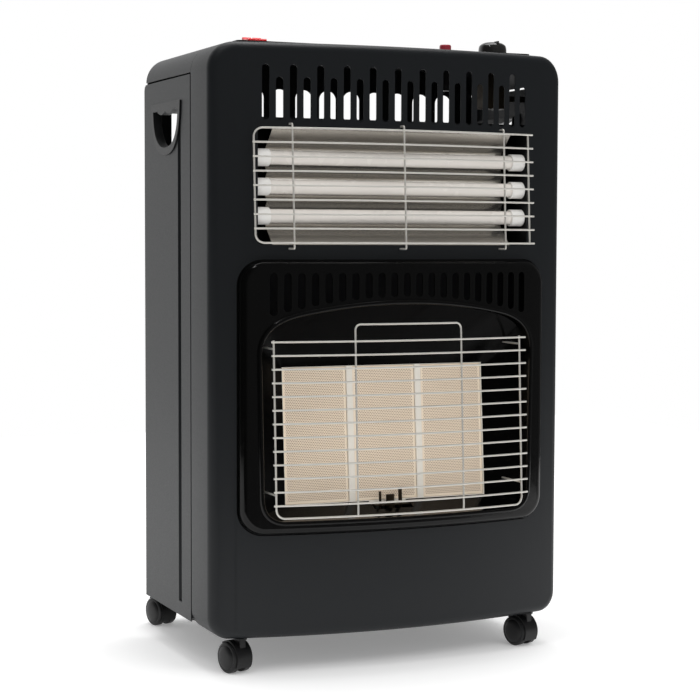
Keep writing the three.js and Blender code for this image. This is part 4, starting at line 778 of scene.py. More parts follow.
# %% Punches for the air slots
def slot_row(name, count, material, sides=24, odd=None, arch=None, flat=0.0, **sizes):
    """Punches for one row of slots, sizes in millimetres."""
    sizes |= {"high_odd": odd or sizes["high"], "arch_radius": arch or 1000.0}
    values = {label.capitalize().replace("_", " "): s * MM for label, s in sizes.items()}
    values |= {"Count": count, "Sides": sides, "Material": material, "Flat foot": flat,
               "Follow arch": float(bool(arch)), "Front": values["Front"] + SHIFT}
    return run_tree(slot_tree, name, values)


air = slot_row("air_punches", 22, charcoal_paint, pitch=15.55, width=8.5, low=631, high=693,
               odd=679, front=-70, depth=100)
print("air punches", len(air.data.polygons))

# %% [markdown]
# ### Openings of the shell
# The lamp window is a plain rounded rectangle, and the hole for the burner surround follows
# the surround's outline. After cutting, the skin takes its shading from the uncut loft.

# %% Cutting the shell
STEM_X, STEM_FRONT_Y, STEM_REAR_Y = 186.5, 5.4, 286.0
PUNCH_FRONT, PUNCH_REAR, HOLE_PLAY = -70.0, 32.0, 1.5
bay = prism("bay", rounded(-172, 172, 491, 622, 5), PUNCH_FRONT, PUNCH_REAR, "y")
hole = ring_loft("hole", [plate_ring(bezel_plate, -HOLE_PLAY, lambda x, y=y: y)
                          for y in (PUNCH_REAR, PUNCH_FRONT)])
top_hole = prism("top_hole", rounded(-184, 184, 13, 55, 3), 713, 719)
bolts = [rod("bolt_hole", 3.3, 41, 45, 24, at=(s * STEM_X, STEM_FRONT_Y, 0)) for s in (-1, 1)]
cut_cleanly(shell, bay, hole, top_hole, air, *bolts)
dress(shell, charcoal_paint, "front_shell")
print("cut shell faces", len(shell.data.polygons))

# %% [markdown]
# ## The burner surround
# The enamelled surround stands 10 mm proud of the shell. Its opening is an arch with a
# rolled lip. The outline is drawn in five sections per side, so its corners can be dense
# while its straight runs stay light, and the funnel behind it uses the same sections.


# %% Arch outline
ARCH_LOW, ARCH_CROWN, ARCH_RADIUS, ARCH_SPRING = 178.0, 423.0, 618.0, 126.0
SHOULDER_HALF, SHOULDER_Z, FOOT_HALF, FOOT_RADIUS = 171.0, 366.0, 168.0, 26.0
ARCH_STEPS = (12, 10, 8, 12, 12)


def quad_curve(a, b, c, t):
    return tuple((1 - t) ** 2 * p + 2 * t * (1 - t) * q + t * t * r for p, q, r in zip(a, b, c))


def arch_half(grow):
    """Right half of the arch from its foot centre to its crown, as (x, z)."""
    foot, shoulder, low = FOOT_HALF + grow, SHOULDER_HALF + grow, ARCH_LOW - grow
    radius, corner = ARCH_RADIUS + grow, FOOT_RADIUS + grow
    centre = ARCH_CROWN - ARCH_RADIUS
    rise = math.sqrt(radius ** 2 - ARCH_SPRING ** 2)
    spring = centre + rise
    bend = spring - ARCH_SPRING / rise * (shoulder - ARCH_SPRING)
    a = math.atan2(rise, ARCH_SPRING)
    sections = [
        lambda t: (t * (foot - corner), low),
        lambda t: quad_curve((foot - corner, low), (foot, low), (foot, low + corner), t),
        lambda t: (foot + t * (shoulder - foot), low + corner + t * (SHOULDER_Z - low - corner)),
        lambda t: quad_curve((shoulder, SHOULDER_Z), (shoulder, bend), (ARCH_SPRING, spring), t),
        lambda t: (radius * math.cos(a + t * (math.pi / 2 - a)),
                   centre + radius * math.sin(a + t * (math.pi / 2 - a)))]
    return sections


def whole(sections):
    """Points of both halves, starting at the foot centre."""
    right = [s(k / n) for s, n in zip(sections, ARCH_STEPS) for k in range(n)]
    right.append(sections[-1](1.0))
    return right[:-1] + [(0.0, right[-1][1])] + [(-x, z) for x, z in right[-2:0:-1]]


def arch_ring(grow, y):
    return [(x, y(x), z) for x, z in whole(arch_half(grow))]


BEZEL_PROUD, BEZEL_WALL, BEZEL_EDGE, FLANGE, LIP_DEPTH = 10.0, 1.5, 8.0, 8.0, 14.0
BEAD_R = 2.8


def bezel_face(x):
    return face_y(x) - BEZEL_PROUD


print("arch points", len(whole(arch_half(0))))

# %% [markdown]
# The pressing is lofted like the shell, with a flange that lies behind the shell's edge.
# The arch and the grille slots are cut, and the lip is an endless loft round the arch: its
# profile is a rounded bead in front and a short wall behind.

# %% Surround pressing with arch, grille slots and lip
seat_y = SHELL_WALL + GAP
inner = shrink(bezel_plate, BEZEL_WALL)
rings = rolled_edge(inner, lambda x: bezel_face(x) + BEZEL_WALL, BEZEL_EDGE - BEZEL_WALL)[::-1]
rings += [plate_ring(plate, inset, lambda x, d=d: face_y(x) + d)
          for plate, inset, d in ((inner, 0, seat_y + BEZEL_WALL),
                                  (bezel_plate, -FLANGE, seat_y + BEZEL_WALL),
                                  (bezel_plate, -FLANGE, seat_y), (bezel_plate, 0, seat_y))]
rings += rolled_edge(bezel_plate, bezel_face, BEZEL_EDGE)
bezel = ring_loft("burner_bezel_skin", rings)
arch_cut = prism("arch_cut", whole(arch_half(0.75)), -99, 64, "y")
grille = slot_row("grille_punches", 21, black_enamel, pitch=15.8, width=8.5,
                  low=ARCH_CROWN + 9, high=459, arch=ARCH_RADIUS, front=-99, depth=163)
cut_cleanly(bezel, arch_cut, grille)
bead = [(BEAD_R * (1 - math.cos(a)), -BEAD_R * math.sin(a))
        for a in np.linspace(0.15, math.pi - 0.1, 12)]
lip = [(0.0, LIP_DEPTH), *bead, (2 * BEAD_R, BEZEL_WALL / 2), (BEZEL_WALL, BEZEL_WALL),
       (BEZEL_WALL, LIP_DEPTH)]
lip_ring = ring_loft("lip", [arch_ring(g, lambda x, b=b: bezel_face(x) + b) for g, b in lip],
                     endless=True, smooth_angle=50)
print("surround faces", len(bezel.data.polygons), "lip", len(lip_ring.data.polygons))

# %% [markdown]
# ### Joining without a boolean
# The lip is welded to the pressing, but their meshes need no union: a rolled lip meets its
# face at a crease. They are joined as loose parts of one mesh, each with its own normals.

# %% Joining loose parts
def joined(name, *objects):
    """One mesh from several, keeping each one's corner normals."""
    verts, faces, normals = [], [], []
    for o in objects:
        base = len(verts)
        mesh = o.data
        verts += [tuple(v.co) for v in mesh.vertices]
        corner = np.zeros(len(mesh.loops) * 3)
        mesh.corner_normals.foreach_get("vector", corner)
        faces += [tuple(base + i for i in p.vertices) for p in mesh.polygons]
        normals += [tuple(n) for n in corner.reshape(-1, 3)]
    mesh = bpy.data.meshes.new(name)
    mesh.from_pydata(verts, [], faces)
    mesh.shade_smooth()
    mesh.normals_split_custom_set(normals)
    drop(*objects)
    return linked(name, mesh)


bezel = joined("burner_surround", bezel, lip_ring)
dress(bezel, black_enamel, "burner_bezel")
print("surround done", len(bezel.data.polygons))

# %% [markdown]
# ### The funnel behind the arch
# A pressed funnel leads from the arch to the burner's mouth. Its rings share the arch's
# sections: the arch's rounded foot and shoulder run into the square corners of the mouth.

# %% Burner frame of reference and funnel
BURNER_Y, BURNER_Z, LEAN = 16.0, 269.5, math.radians(4.3)
FRAME_HALF_X, FRAME_HALF_Z = 133.0, 83.5
LEG_PLACES = [(x, z) for x in (-161, 150) for z in (210, 374.4)]


def leaning(y, z):
    """The burner's own (y, z) in drawing coordinates."""
    return (BURNER_Y + y * math.cos(LEAN) + z * math.sin(LEAN),
            BURNER_Z - y * math.sin(LEAN) + z * math.cos(LEAN))


def mouth_half(inset, k=12.0):
    hx, hz = FRAME_HALF_X - inset, FRAME_HALF_Z - inset
    return [
        lambda t: (t * (hx - k), -hz),
        lambda t: (hx - k + 2 * t * k, -hz) if t < 0.5 else (hx, -hz + (2 * t - 1) * k),
        lambda t: (hx, -hz + k + t * (2 * hz - 2 * k)),
        lambda t: (hx, hz - k + 2 * t * k) if t < 0.5 else (hx - (2 * t - 1) * k, hz),
        lambda t: ((hx - k) * (1 - t), hz)]


def mouth_ring(inset, y):
    return [(x, *leaning(y, z)) for x, z in whole(mouth_half(inset))]


front = LIP_DEPTH - BEZEL_PROUD + GAP
flange = [arch_ring(grow, lambda x, d=d: face_y(x) + d)
          for grow, d in ((8, front), (0, front), (SHEET, front + SHEET), (8, front + SHEET))]
rings = flange[:2] + [mouth_ring(3.5, -GAP), mouth_ring(2.3, -GAP)] + flange[2:]
dish = ring_loft("burner_funnel", rings, endless=True, smooth_angle=30)
y0, z0 = leaning(-22, -FRAME_HALF_Z)
y1 = leaning(6, -FRAME_HALF_Z)[0]
door = prism("door", rounded(-25, 25, z0 - 20, leaning(0, -FRAME_HALF_Z)[1] + 4, 3), y0, y1, "y")
holes = [rod("leg_hole", 2, -33, 33, 24, "y", (x, 0, z)) for x, z in LEG_PLACES]
cut_cleanly(dish, door, *holes)
dress(dish, dish_enamel, "burner_dish")
print("funnel faces", len(dish.data.polygons))

# %% [markdown]
# ### Burner
# Three ceramic plaques sit in a folded steel frame, which leans back a little so the heat
# goes slightly upwards. The frame and plaques are the CAD solids with eased edges.

# %% Burner frame and plaques
from_cad("burner_frame", 0.6, 2, pale_zinc)
for i in (1, 2, 3):
    from_cad(f"ceramic_plaque_{i}", 0.8, 2, plaque_ceramic)
# The pilot gets the brass that is darkened almost to black.
from_cad("pilot_assembly", 0.3, 2, sooted_brass)
print("pieces so far", len(dressed))

# %% [markdown]
# ## Wire guards
# A guard is a set of level wires spot-welded to a few upright ones. The levels repeat, so a
# Geometry Nodes tree makes them: a line of points, a straight curve on each, and a Set
# Position that bows every curve like the face and lets it stand off more towards the foot.
# The bent wires come in as edges. A last Curve to Mesh gives every wire its round section.

# %% Geometry Nodes tree for a welded guard
guard_tree = new_tree("welded_guard", ("Levels", "Points"), (
    "Lowest", "Highest", "Left", "Right", "Bow", "Bow half", "Datum", "Stand at top",
    "Stand at foot", "Top", "Foot", "Wire radius"))
w = Wiring(guard_tree)
step = (w["Highest"] - w["Lowest"]) / (w["Levels"] - 1)
column = w.node("GeometryNodeMeshLine", {"mode": "OFFSET"}, Count=w["Levels"],
                Start_Location=w.vector(0, 0, w["Lowest"]), Offset=w.vector(0, 0, step))
straight = w.node("GeometryNodeCurvePrimitiveLine", Start=w.vector(w["Left"], 0, 0),
                  End=w.vector(w["Right"], 0, 0))
fine = w.node("GeometryNodeResampleCurve", Curve=straight, Count=w["Points"])
levels = w.node("GeometryNodeInstanceOnPoints", Points=column, Instance=fine)
loose = w.node("GeometryNodeRealizeInstances", Geometry=levels)
x, y, z = w.xyz(w.node("GeometryNodeInputPosition"))
bow = w["Bow"] * ((x / w["Bow half"]) ** 2 - 1)
fall = (w["Top"] - z) / (w["Top"] - w["Foot"])
stand = w["Stand at top"] + fall * (w["Stand at foot"] - w["Stand at top"])
depth = w["Datum"] + (bow - stand)
bowed = w.node("GeometryNodeSetPosition", Geometry=loose, Position=w.vector(x, depth, z))
bent = w.node("GeometryNodeMeshToCurve", Mesh=w["Geometry"])
both = w.nodes.new("GeometryNodeJoinGeometry")
for curves in (bowed, bent):
    w.put(curves, both.inputs[0])
section = w.node("GeometryNodeCurvePrimitiveCircle", Resolution=14, Radius=w["Wire radius"])
swept = w.node("GeometryNodeCurveToMesh", Curve=both, Profile_Curve=section, Fill_Caps=True)
w.finish(w.node("GeometryNodeSetShadeSmooth", Geometry=swept, Shade_Smooth=True), w["Material"])
print("guard tree nodes", len(guard_tree.nodes))

# %% [markdown]
# ### Bent wires
# The outer loop, the cradle, the hoop and the bars that turn back to the shell are bent
# over a former. Here each is a path in the plane of the guard whose corners are rounded,
# and then laid on the same bowed surface as the level wires.

# %% Bending a wire
WIRE_R, WELD, BAR_BEND, LOOP_BEND, HOOP_BEND = 1.12, 1.725, 2.0, 9.0, 6.0
BLEND = 0.12  # how far a bend's control point lies from the corner, in bend radii


def guard_depth(stand_top, stand_foot, top, foot):
    """Depth of a guard's surface, from how far it stands off the face at both ends."""
    slope = stand_foot - stand_top
    return lambda x, z: face_y(x) - stand_top - slope * (top - z) / (top - foot)


def bend_path(path, steps=8):
    """A path of (x, z) or (x, z, bend radius) with its corners bent."""
    out = []
    for i, p in enumerate(path):
        if len(p) == 2 or i in (0, len(path) - 1):
            out.append(tuple(p[:2]))
            continue
        here, r = np.array(p[:2]), p[2]
        a, b = (np.array(q[:2]) - here for q in (path[i - 1], path[i + 1]))
        a, b = r * a / np.linalg.norm(a), r * b / np.linalg.norm(b)
        out += [quad_curve(here + a, here + BLEND * (a + b), here + b, t)
                for t in np.linspace(0, 1, steps + 1)]
    return out


def dense(path, step=8.0):
    """Extra points on the long straight runs, so they can follow the bow."""
    out = [path[0]]
    for a, b in zip(path, path[1:]):
        n = max(1, int(math.dist(a, b) / step))
        out += [tuple(p + (q - p) * k / n for p, q in zip(a, b)) for k in range(1, n + 1)]
    return out


def wire_mesh(name, paths):
    verts, edges = [], []
    for path in paths:
        base = len(verts)
        verts += [tuple(p) for p in place(path)]
        edges += [(base + i, base + i + 1) for i in range(len(path) - 1)]
    mesh = bpy.data.meshes.new(name)
    mesh.from_pydata(verts, edges, [])
    return mesh


def turned_back(x, depth, high, low):
    """An upright bar whose ends turn back to the shell."""
    bar = [(x, face_y(x) - GAP, high)]
    for z, way, turn in ((high, -1, (0, math.pi / 2)), (low, 1, (math.pi / 2, 0))):
        y = depth(x, z) + WELD
        bar += [(x, y + BAR_BEND * (1 - math.sin(a)), z + way * BAR_BEND * (1 - math.cos(a)))
                for a in np.linspace(*turn, 6)]
    return bar + [(x, face_y(x) - GAP, low)]


print("points on one bend", len(bend_path([(0, 0), (0, 10, 3), (10, 10)])) - 2)

# %% [markdown]
# The upper guard has seven level wires inside a loop. The loop lies in their plane along its
# top and foot, and slips behind them at its left end, where they are welded on. Three bars
# and an end bar run behind and hold the rows together.


# %% Upper guard
def guard(name, node, bent, levels, **sizes):
    """Runs the guard tree on the bent wires, its other sizes in millimetres."""
    sizes = {"Bow": FACE_BOW, "Bow half": BODY_HALF, "Wire radius": WIRE_R, **sizes}
    values = {label: size * MM for label, size in sizes.items()}
    values |= {"Levels": levels, "Points": 48, "Datum": SHIFT, "Material": bright_wire}
    obj = run_tree(guard_tree, f"{name}_wires", values, wire_mesh(f"{name}_bent", bent))
    return dress(obj, bright_wire, node)


UPPER_LOW, UPPER_HIGH, UPPER_LEFT, UPPER_RIGHT = 493.0, 621.5, -180.0, 172.0
surface = guard_depth(11, 18, UPPER_HIGH, UPPER_LOW)
loop = dense(bend_path([(UPPER_RIGHT, UPPER_HIGH), (UPPER_LEFT, UPPER_HIGH, LOOP_BEND),
                        (UPPER_LEFT, UPPER_LOW, LOOP_BEND), (UPPER_RIGHT, UPPER_LOW)]))
past_levels = [max(0.0, (UPPER_LEFT + LOOP_BEND - x) / LOOP_BEND) for x, z in loop]
slip = [(x, surface(x, z) + WELD * past, z) for (x, z), past in zip(loop, past_levels)]
bars = [turned_back(x, surface, UPPER_HIGH + 5, UPPER_LOW - 6.5) for x in (-137, -4.5, 130)]
end_bar = [(166, surface(166, z) + WELD, z) for z in (UPPER_HIGH + 1.15, UPPER_LOW - 1.15)]
pitch = (UPPER_HIGH - UPPER_LOW) / 8
upper_guard = guard("upper", "upper_guard", [slip, *bars, end_bar], 7, **{
    "Lowest": UPPER_LOW + pitch, "Highest": UPPER_HIGH - pitch, "Left": -182, "Right": 172,
    "Stand at top": 11, "Stand at foot": 18, "Top": UPPER_HIGH, "Foot": UPPER_LOW})
print("upper guard faces", len(upper_guard.data.polygons))

# %% [markdown]
# The lower guard is a basket: thirteen level wires on a cradle and a hoop, with four legs
# that reach through the funnel.

# %% Lower guard
LOWER_LOW, LOWER_HIGH, LOWER_LEFT, LOWER_RIGHT = 184.0, 382.0, -161.0, 150.0
HOOP_HALF, HOOP_HIGH, HOOP_LOW = 67.0, 401.0, 182.85


def behind(x, z, depth=guard_depth(20, 30, LOWER_HIGH, LOWER_LOW)):
    """Centre of a wire welded on behind the lower guard's levels."""
    return depth(x, z) + WELD


cradle = dense(bend_path([(LOWER_LEFT, 384), (LOWER_LEFT, LOWER_LOW, LOOP_BEND),
                          (LOWER_RIGHT, LOWER_LOW, LOOP_BEND), (LOWER_RIGHT, 384)]))
hoop = dense(bend_path([(-HOOP_HALF, HOOP_LOW), (-HOOP_HALF, HOOP_HIGH, HOOP_BEND),
                        (HOOP_HALF, HOOP_HIGH, HOOP_BEND), (HOOP_HALF, HOOP_LOW)]))
bent = [[(x, behind(x, z), z) for x, z in cradle],
        [(x, behind(x, z) + (0.57 if z < 183 else 0), z) for x, z in hoop]]
bent += [[(x, behind(x, z), z), (x, behind(x, z) + 65, z)] for x, z in LEG_PLACES]
lower_guard = guard("lower", "lower_guard", bent, 13, **{
    "Lowest": 198.4, "Highest": LOWER_HIGH, "Left": -164, "Right": 158,
    "Stand at top": 20, "Stand at foot": 29.6, "Top": LOWER_HIGH, "Foot": LOWER_LOW})
print("lower guard faces", len(lower_guard.data.polygons))

# %% [markdown]
# ## Lamp bay
# Behind the upper guard a polished trough throws the lamps' heat forward. It is one sheet
# with a shallow flute behind each tube. The tubes are frosted quartz, closed by white
# ceramic caps that carry the terminals.

# %% Reflector, tubes and caps
LAMP_Z, FLUTE_R, FLUTE_STEPS, SHEET_THIN, TUBE_END = (589.5, 556.5, 523.5), 19.0, 24, 0.8, 162.1
CAP = ((0, 162.4), (8.3, 162.4), (8.3, 154.6), (8.5, 154.4), (9.5, 154.4), (10, 154.9),
       (10, 170.6), (9.2, 171.4), (0, 171.4))
spread = math.asin((LAMP_Z[0] - LAMP_Z[1]) / 2 / FLUTE_R)
line = [(-8.0, 622.9)]
for n, zc in enumerate(LAMP_Z):
    angles = [spread * (1 - 2 * k / FLUTE_STEPS) for k in range(min(n, 1), FLUTE_STEPS + 1)]
    line += [(FLUTE_R * math.cos(a), zc + FLUTE_R * math.sin(a)) for a in angles]
line.append((-8.0, 490.1))
back = [(y + SHEET_THIN, z) for y, z in line]
back[0], back[-1] = (-7.0, 622.9), (-7.0, 490.1)
trough = prism("reflector_trough", line + back[::-1], -152, 152, "x", 40)
posts = [rod("post", 4, 19.4, 36.5, 32, "y", (s * 91.2, 0, LAMP_Z[1])) for s in (-1, 1)]
trough = joined("reflector", trough, *posts)
dress(trough, polished_reflector, "lamp_reflector")
for n, zc in enumerate(LAMP_Z, 1):
    tube = [(0, -TUBE_END), (7.4, -TUBE_END), (8, 0.6 - TUBE_END), (8, TUBE_END - 0.6),
            (7.4, TUBE_END), (0, TUBE_END)]
    dress(lathe(f"tube_{n}", tube, 48, "x", (0, 0, zc)), quartz, f"quartz_tube_{n}")
    for side, label in SIDES:
        cap = lathe(f"cap_{label}_{n}", [(r, side * h) for r, h in CAP], 48, "x", (0, 0, zc))
        dress(cap, white_ceramic, f"tube_cap_{label}_{n}")
from_cad("lamp_chassis", 0.4, 2, soot_black)
print("pieces so far", len(dressed))

# %% [markdown]
# ## Sides, top and back
# The side panels are folded sheets with a stamped groove. A stamping tool never leaves a
# sharp corner, so the groove's edges are eased. The carrying handles are plastic cups with
# a flange. The finger waves on their upper edge come from two shallow curves.


# %% Side panels and handles
HAND_FRONT, HAND_REAR, HAND_HIGH, HAND_LOW, WAVE_DROP = 108, 202, 650, 606, 9


def bezier(a, b, c, d, n=24):
    out = []
    for k in range(1, n + 1):
        t, s = k / n, 1 - k / n
        out.append(tuple(s ** 3 * p + 3 * s * s * t * q + 3 * s * t * t * r + t ** 3 * u
                         for p, q, r, u in zip(a, b, c, d)))
    return out


def hand_outline(grow, waves):
    """The hand hole in (y, z), grown outwards, with or without its finger waves."""
    front, rear = HAND_FRONT - grow, HAND_REAR + grow
    high, low = HAND_HIGH + grow, HAND_LOW - grow
    middle, bend, flare = (front + rear) / 2, (high - low) * 0.82, (rear - front) * 0.25
    out = [(rear, high)]
    if waves:
        third = (HAND_REAR - HAND_FRONT) / 3
        crests = (middle + third, high), (middle, high - 1), (middle - third, high)
        out.append(crests[0])
        for a, c in zip(crests, crests[1:]):
            b = ((a[0] + c[0]) / 2, high - WAVE_DROP)
            out += [quad_curve(a, b, c, k / 16) for k in range(1, 17)]
    out.append((front, high))
    out += bezier((front, high), (front + 2, high - bend), (middle - flare, low), (middle, low))
    out += bezier((middle, low), (middle + flare, low), (rear - 2, high - bend), (rear, high))
    return out[:-1]


for s, label in SIDES:
    panel = ease(cad_copy(f"side_panel_{label}", dissolve=0.02), 0.45, 3)
    dress(panel, charcoal_paint, f"side_panel_{label}")
    rim, cup, hand = (
        prism(name, hand_outline(grow, waves), *sorted((s * a, s * b)), "x")
        for name, grow, waves, a, b in ((f"handle_rim_{label}", 9, False, 225.3, 226.9),
                                        ("cup", 2.5, False, 216, 226.1),
                                        ("hand", 0, True, 214, 229)))
    fuse(rim, cup)
    cut(rim, hand)
    ease(rim, 0.5, 3)
    dress(rim, handle_plastic, f"handle_{label}")
print("side faces", len(panel.data.polygons), "handle faces", len(rim.data.polygons))

# %% [markdown]
# The top cover is an arched strip behind the front shell, and the rear vent closes it from
# behind. The vent's slots are the third row made by the slot tree, here with flat feet.

# %% Top cover and rear vent
COVER_LOW, COVER_FRONT, COVER_REAR, VENT_LOW, VENT_INSET = 688, 64.3, 236, 585, 1.25


def cover_outline(inset, low):
    half, high, corner = BODY_HALF - inset, BODY_HIGH - inset, TOP_CORNER - inset
    return ([(half, low)] + arc(half - corner, high - corner, corner, 0, 90, 16)
            + arc(corner - half, high - corner, corner, 90, 180, 16) + [(-half, low)])


band = cover_outline(0, COVER_LOW) + cover_outline(SHEET, COVER_LOW)[::-1]
cover = prism("cover", band, COVER_FRONT, COVER_REAR, "y", 40)
ease(cover, 0.35, 2, 50)
dress(cover, charcoal_paint, "top_cover")
vent = prism("vent", cover_outline(VENT_INSET, VENT_LOW), 234.2, 234.2 + SHEET, "y", 40)
edges = [sorted((s * 221.7, s * 222.9)) for s in (-1, 1)]
tabs = [prism("tab", rounded(*edge, 588.6, 674, 0.2, 2), 223.4, 234.8, "y") for edge in edges]
rear_slots = slot_row("vent_punches", 12, charcoal_paint, 36, pitch=33, width=23, low=602,
                      high=687, flat=1.0, front=230, depth=10)
fuse(vent, *tabs)
cut(vent, rear_slots)
ease(vent, 0.25, 2, 50)
dress(vent, charcoal_paint, "rear_vent_panel")
from_cad("heat_shield", 0.3, 2, grey_plate)
from_cad("base_tray", 0.5, 3, soot_black)
print("cover", len(cover.data.polygons), "vent", len(vent.data.polygons))

# %% [markdown]
# ## Controls
# The control panel is one moulding: a plate with rounded corners, a round well for the gas
# knob, a hole for the igniter button and a box for the two switches. Round holes get many
# sides here, because the eye picks out a faceted circle at once.

# %% Control panel
CONTROL_Y, KNOB_X, BUTTON_X, ROCKER_X, PIN_Z = 34.0, 148.6, 85.0, -159.0, 716.0
PANEL_LOW, PANEL_TOP, WELL_FLOOR, ABOVE = 718.3, 721.0, 716.5, 725.0
ROCKERS = (ROCKER_X - 6.2, ROCKER_X + 6.2)
at_knob, at_button = (KNOB_X, CONTROL_Y, 0), (BUTTON_X, CONTROL_Y, 0)
at_pin = (ROCKER_X, CONTROL_Y, PIN_Z)
panel = prism("control_panel_skin", rounded(-188, 188, 9, 59, 6, 10), PANEL_LOW, PANEL_TOP)
box = rounded(ROCKER_X - 13.2, ROCKER_X + 13.2, 21.1, 46.9, 1, 3)
fuse(panel, rod("well", 19.8, 715.2, 718.4, 64, at=at_knob),
     rod("boss", 10, 715.3, 718.4, 48, at=at_button), prism("housing", box, 700.3, 718.4))
rooms = [prism("cutter", rounded(x - 5.6, x + 5.6, 22.5, 45.5, 0.4, 3), 701.7, ABOVE)
         for x in ROCKERS]
cut(panel, rod("cutter", 18.5, WELL_FLOOR, ABOVE, 64, at=at_knob),
    rod("cutter", 6, 710, 720, 32, at=at_knob), rod("cutter", 7.5, 710, ABOVE, 48, at=at_button),
    rod("cutter", 1.7, -20, 20, 16, "x", at_pin), *rooms)
ease(panel, 0.45, 3, 40)
dress(panel, black_plastic, "control_panel")
print("panel faces", len(panel.data.polygons))

# %% [markdown]
# The rockers are drawn level about their pin and tilted to the off position. Each is its
# own body, because each one tips in the finished heater.

# %% Rockers, button and knob
TILT, ROCKER_HALF, ROCKER_HIGH, DIP = math.radians(9), 10.3, 10.5, 4.4
KNOB_R, KNOB_LOW, KNOB_TOP = 17.0, 721.5, 735.5
CROWN = ((0.955, 5.2), (0.91, 4.0), (0.86, 3.2), (0.77, 2.1), (0.66, 1.2), (0.55, 0.55),
         (0.3, 0.15))
end, high = ROCKER_HALF, ROCKER_HIGH
dished = [quad_curve((end - 1.2, high), (0, high - DIP), (1.2 - end, high), k / 20)
          for k in range(21)]
outline = [(5 - end, -9), (end - 5, -9), (end - 0.4, 0), (end, high - 1), *dished,
           (-end, high - 1), (0.4 - end, 0)]
turned = [(CONTROL_Y + y * math.cos(TILT) - z * math.sin(TILT),
           PIN_Z + y * math.sin(TILT) + z * math.cos(TILT)) for y, z in outline]
for n, x in enumerate(ROCKERS, 1):
    rocker = ease(prism(f"rocker_{n}_skin", turned, x - 5.3, x + 5.3, "x"), 0.35, 3, 30)
    pin = rod("pin", 1.4, -6.1, 6.1, 16, "x", (x, CONTROL_Y, PIN_Z))
    dress(joined(f"rocker_{n}_cap", rocker, pin), red_plastic, f"rocker_switch_{n}",
          f"rocker_{n}")
profile = [(0, 706.6), (5, 706.6), (5, 721.6), (6.7, 721.6), (7, 721.9), (7, 727.6)]
profile += [(5.5 + 1.5 * math.cos(a), 727.6 + 2 * math.sin(a)) for a in np.linspace(0.1, 1.5, 8)]
button = lathe("button_cap", profile + [(0, 729.6)], 48, at=at_button)
dress(button, dark_red_plastic, "piezo_button", "piezo")
profile = [(0, KNOB_TOP - 4), (3.3, KNOB_TOP - 4), (3.3, KNOB_LOW), (KNOB_R - 0.5, KNOB_LOW),
           (KNOB_R, KNOB_LOW + 0.5), (KNOB_R, KNOB_LOW + 4), (KNOB_R * 0.985, KNOB_LOW + 6.5)]
profile += [(KNOB_R * share, KNOB_TOP - drop) for share, drop in CROWN] + [(0, KNOB_TOP)]
knob = lathe("knob_cap", profile, 72, at=at_knob)
groove = rounded(KNOB_X - 1.2, KNOB_X + 1.2, CONTROL_Y - 15.3, CONTROL_Y - 5.1, 0.9, 4)
pointer = ease(prism("pointer", groove, KNOB_TOP - 3.6, KNOB_TOP + 0.3), 0.2, 2)
knob = joined("knob_and_pointer", knob, pointer)
dress(knob, knob_plastic, "gas_knob", "knob")
print("pieces so far", len(dressed))

# %% [markdown]
# ## Casters
# Four twin-wheel casters. The wheels run free under a part-drum hood, and the hood swivels
# on its stem. One set is modelled about the swivel axis and then turned and moved to each
# corner, with every moving piece on its own body.


# %% Caster pieces
WHEEL_R, TRAIL, REST_SWIVEL = 18.0, 10.0, math.radians(16)
HOOD_IN, HOOD_OUT, HOOD_WEB, HOOD_FROM, HOOD_TO = WHEEL_R + 0.6, WHEEL_R + 1.8, 7, 55, 212
CORNERS = {"front_left": (-STEM_X, STEM_FRONT_Y), "front_right": (STEM_X, STEM_FRONT_Y),
           "rear_left": (-STEM_X, STEM_REAR_Y), "rear_right": (STEM_X, STEM_REAR_Y)}
at_axle = (0, TRAIL, WHEEL_R)
WHEEL = ((0, 12), (2.3, 12), (2.3, 4.4), (WHEEL_R - 0.8, 4.4), (WHEEL_R, 5.2), (WHEEL_R, 11.2),
         (WHEEL_R - 0.5, 12.2), (WHEEL_R - 1.8, 13.0), (WHEEL_R - 3.4, 13.2), (14.2, 12.9),
         (13.4, 13.6), (12.2, 14.6), (9, 15.4), (5, 15.8), (0, 16))


def to_corner(obj, x, y):
    """Turns a piece by the casters' resting swivel and moves it under a corner."""
    moved = Matrix.Translation((x * MM, y * MM + SHIFT, 0)) @ Matrix.Rotation(REST_SWIVEL, 4, "Z")
    obj.data.transform(moved @ Matrix.Translation((0, -SHIFT, 0)))
    return obj


def drum(r, start, end, steps):
    return arc(TRAIL, WHEEL_R, r, start, end, steps)


def hood():
    band = drum(HOOD_OUT, HOOD_FROM, HOOD_TO, 40) + drum(HOOD_IN, HOOD_TO, HOOD_FROM, 40)
    web = drum(HOOD_OUT - 0.6, HOOD_FROM, HOOD_TO, 32) + drum(HOOD_WEB, HOOD_TO, 415, 32)
    shield = prism("hood_band", band, -10.4, 10.4, "x", 40)
    fuse(shield, prism("hood_web", web, -4, 4, "x", 40),
         prism("hood_socket", rounded(-4, 4, -5.4, 5.4, 0.8, 3), WHEEL_R + 6, 39.2))
    cut(shield, rod("bore", 2.9, 25.7, 42, 24), rod("axle_hole", 2.3, -5, 5, 24, "x", at_axle))
    return ease(shield, 0.35, 2, 40)


def wheel(side, name):
    return lathe(name, [(r, side * h) for r, h in WHEEL], 72, "x", at_axle, smooth_angle=40)


for corner, (x, y) in CORNERS.items():
    dress(to_corner(hood(), x, y), black_plastic, f"caster_{corner}_hood", f"{corner}_fork")
    for side, letter in ((1, "r"), (-1, "l")):
        made = to_corner(wheel(side, f"wheel_{corner}_{letter}"), x, y)
        dress(made, wheel_plastic, f"caster_{corner}_wheel_{letter}",
              f"{corner}_wheel_{letter}")
    # The stem takes the near-black finish, which is painted shade under the cabinet.
    from_cad(f"caster_{corner}_stem", 0.3, 2, black_zinc)
print("pieces so far", len(dressed))
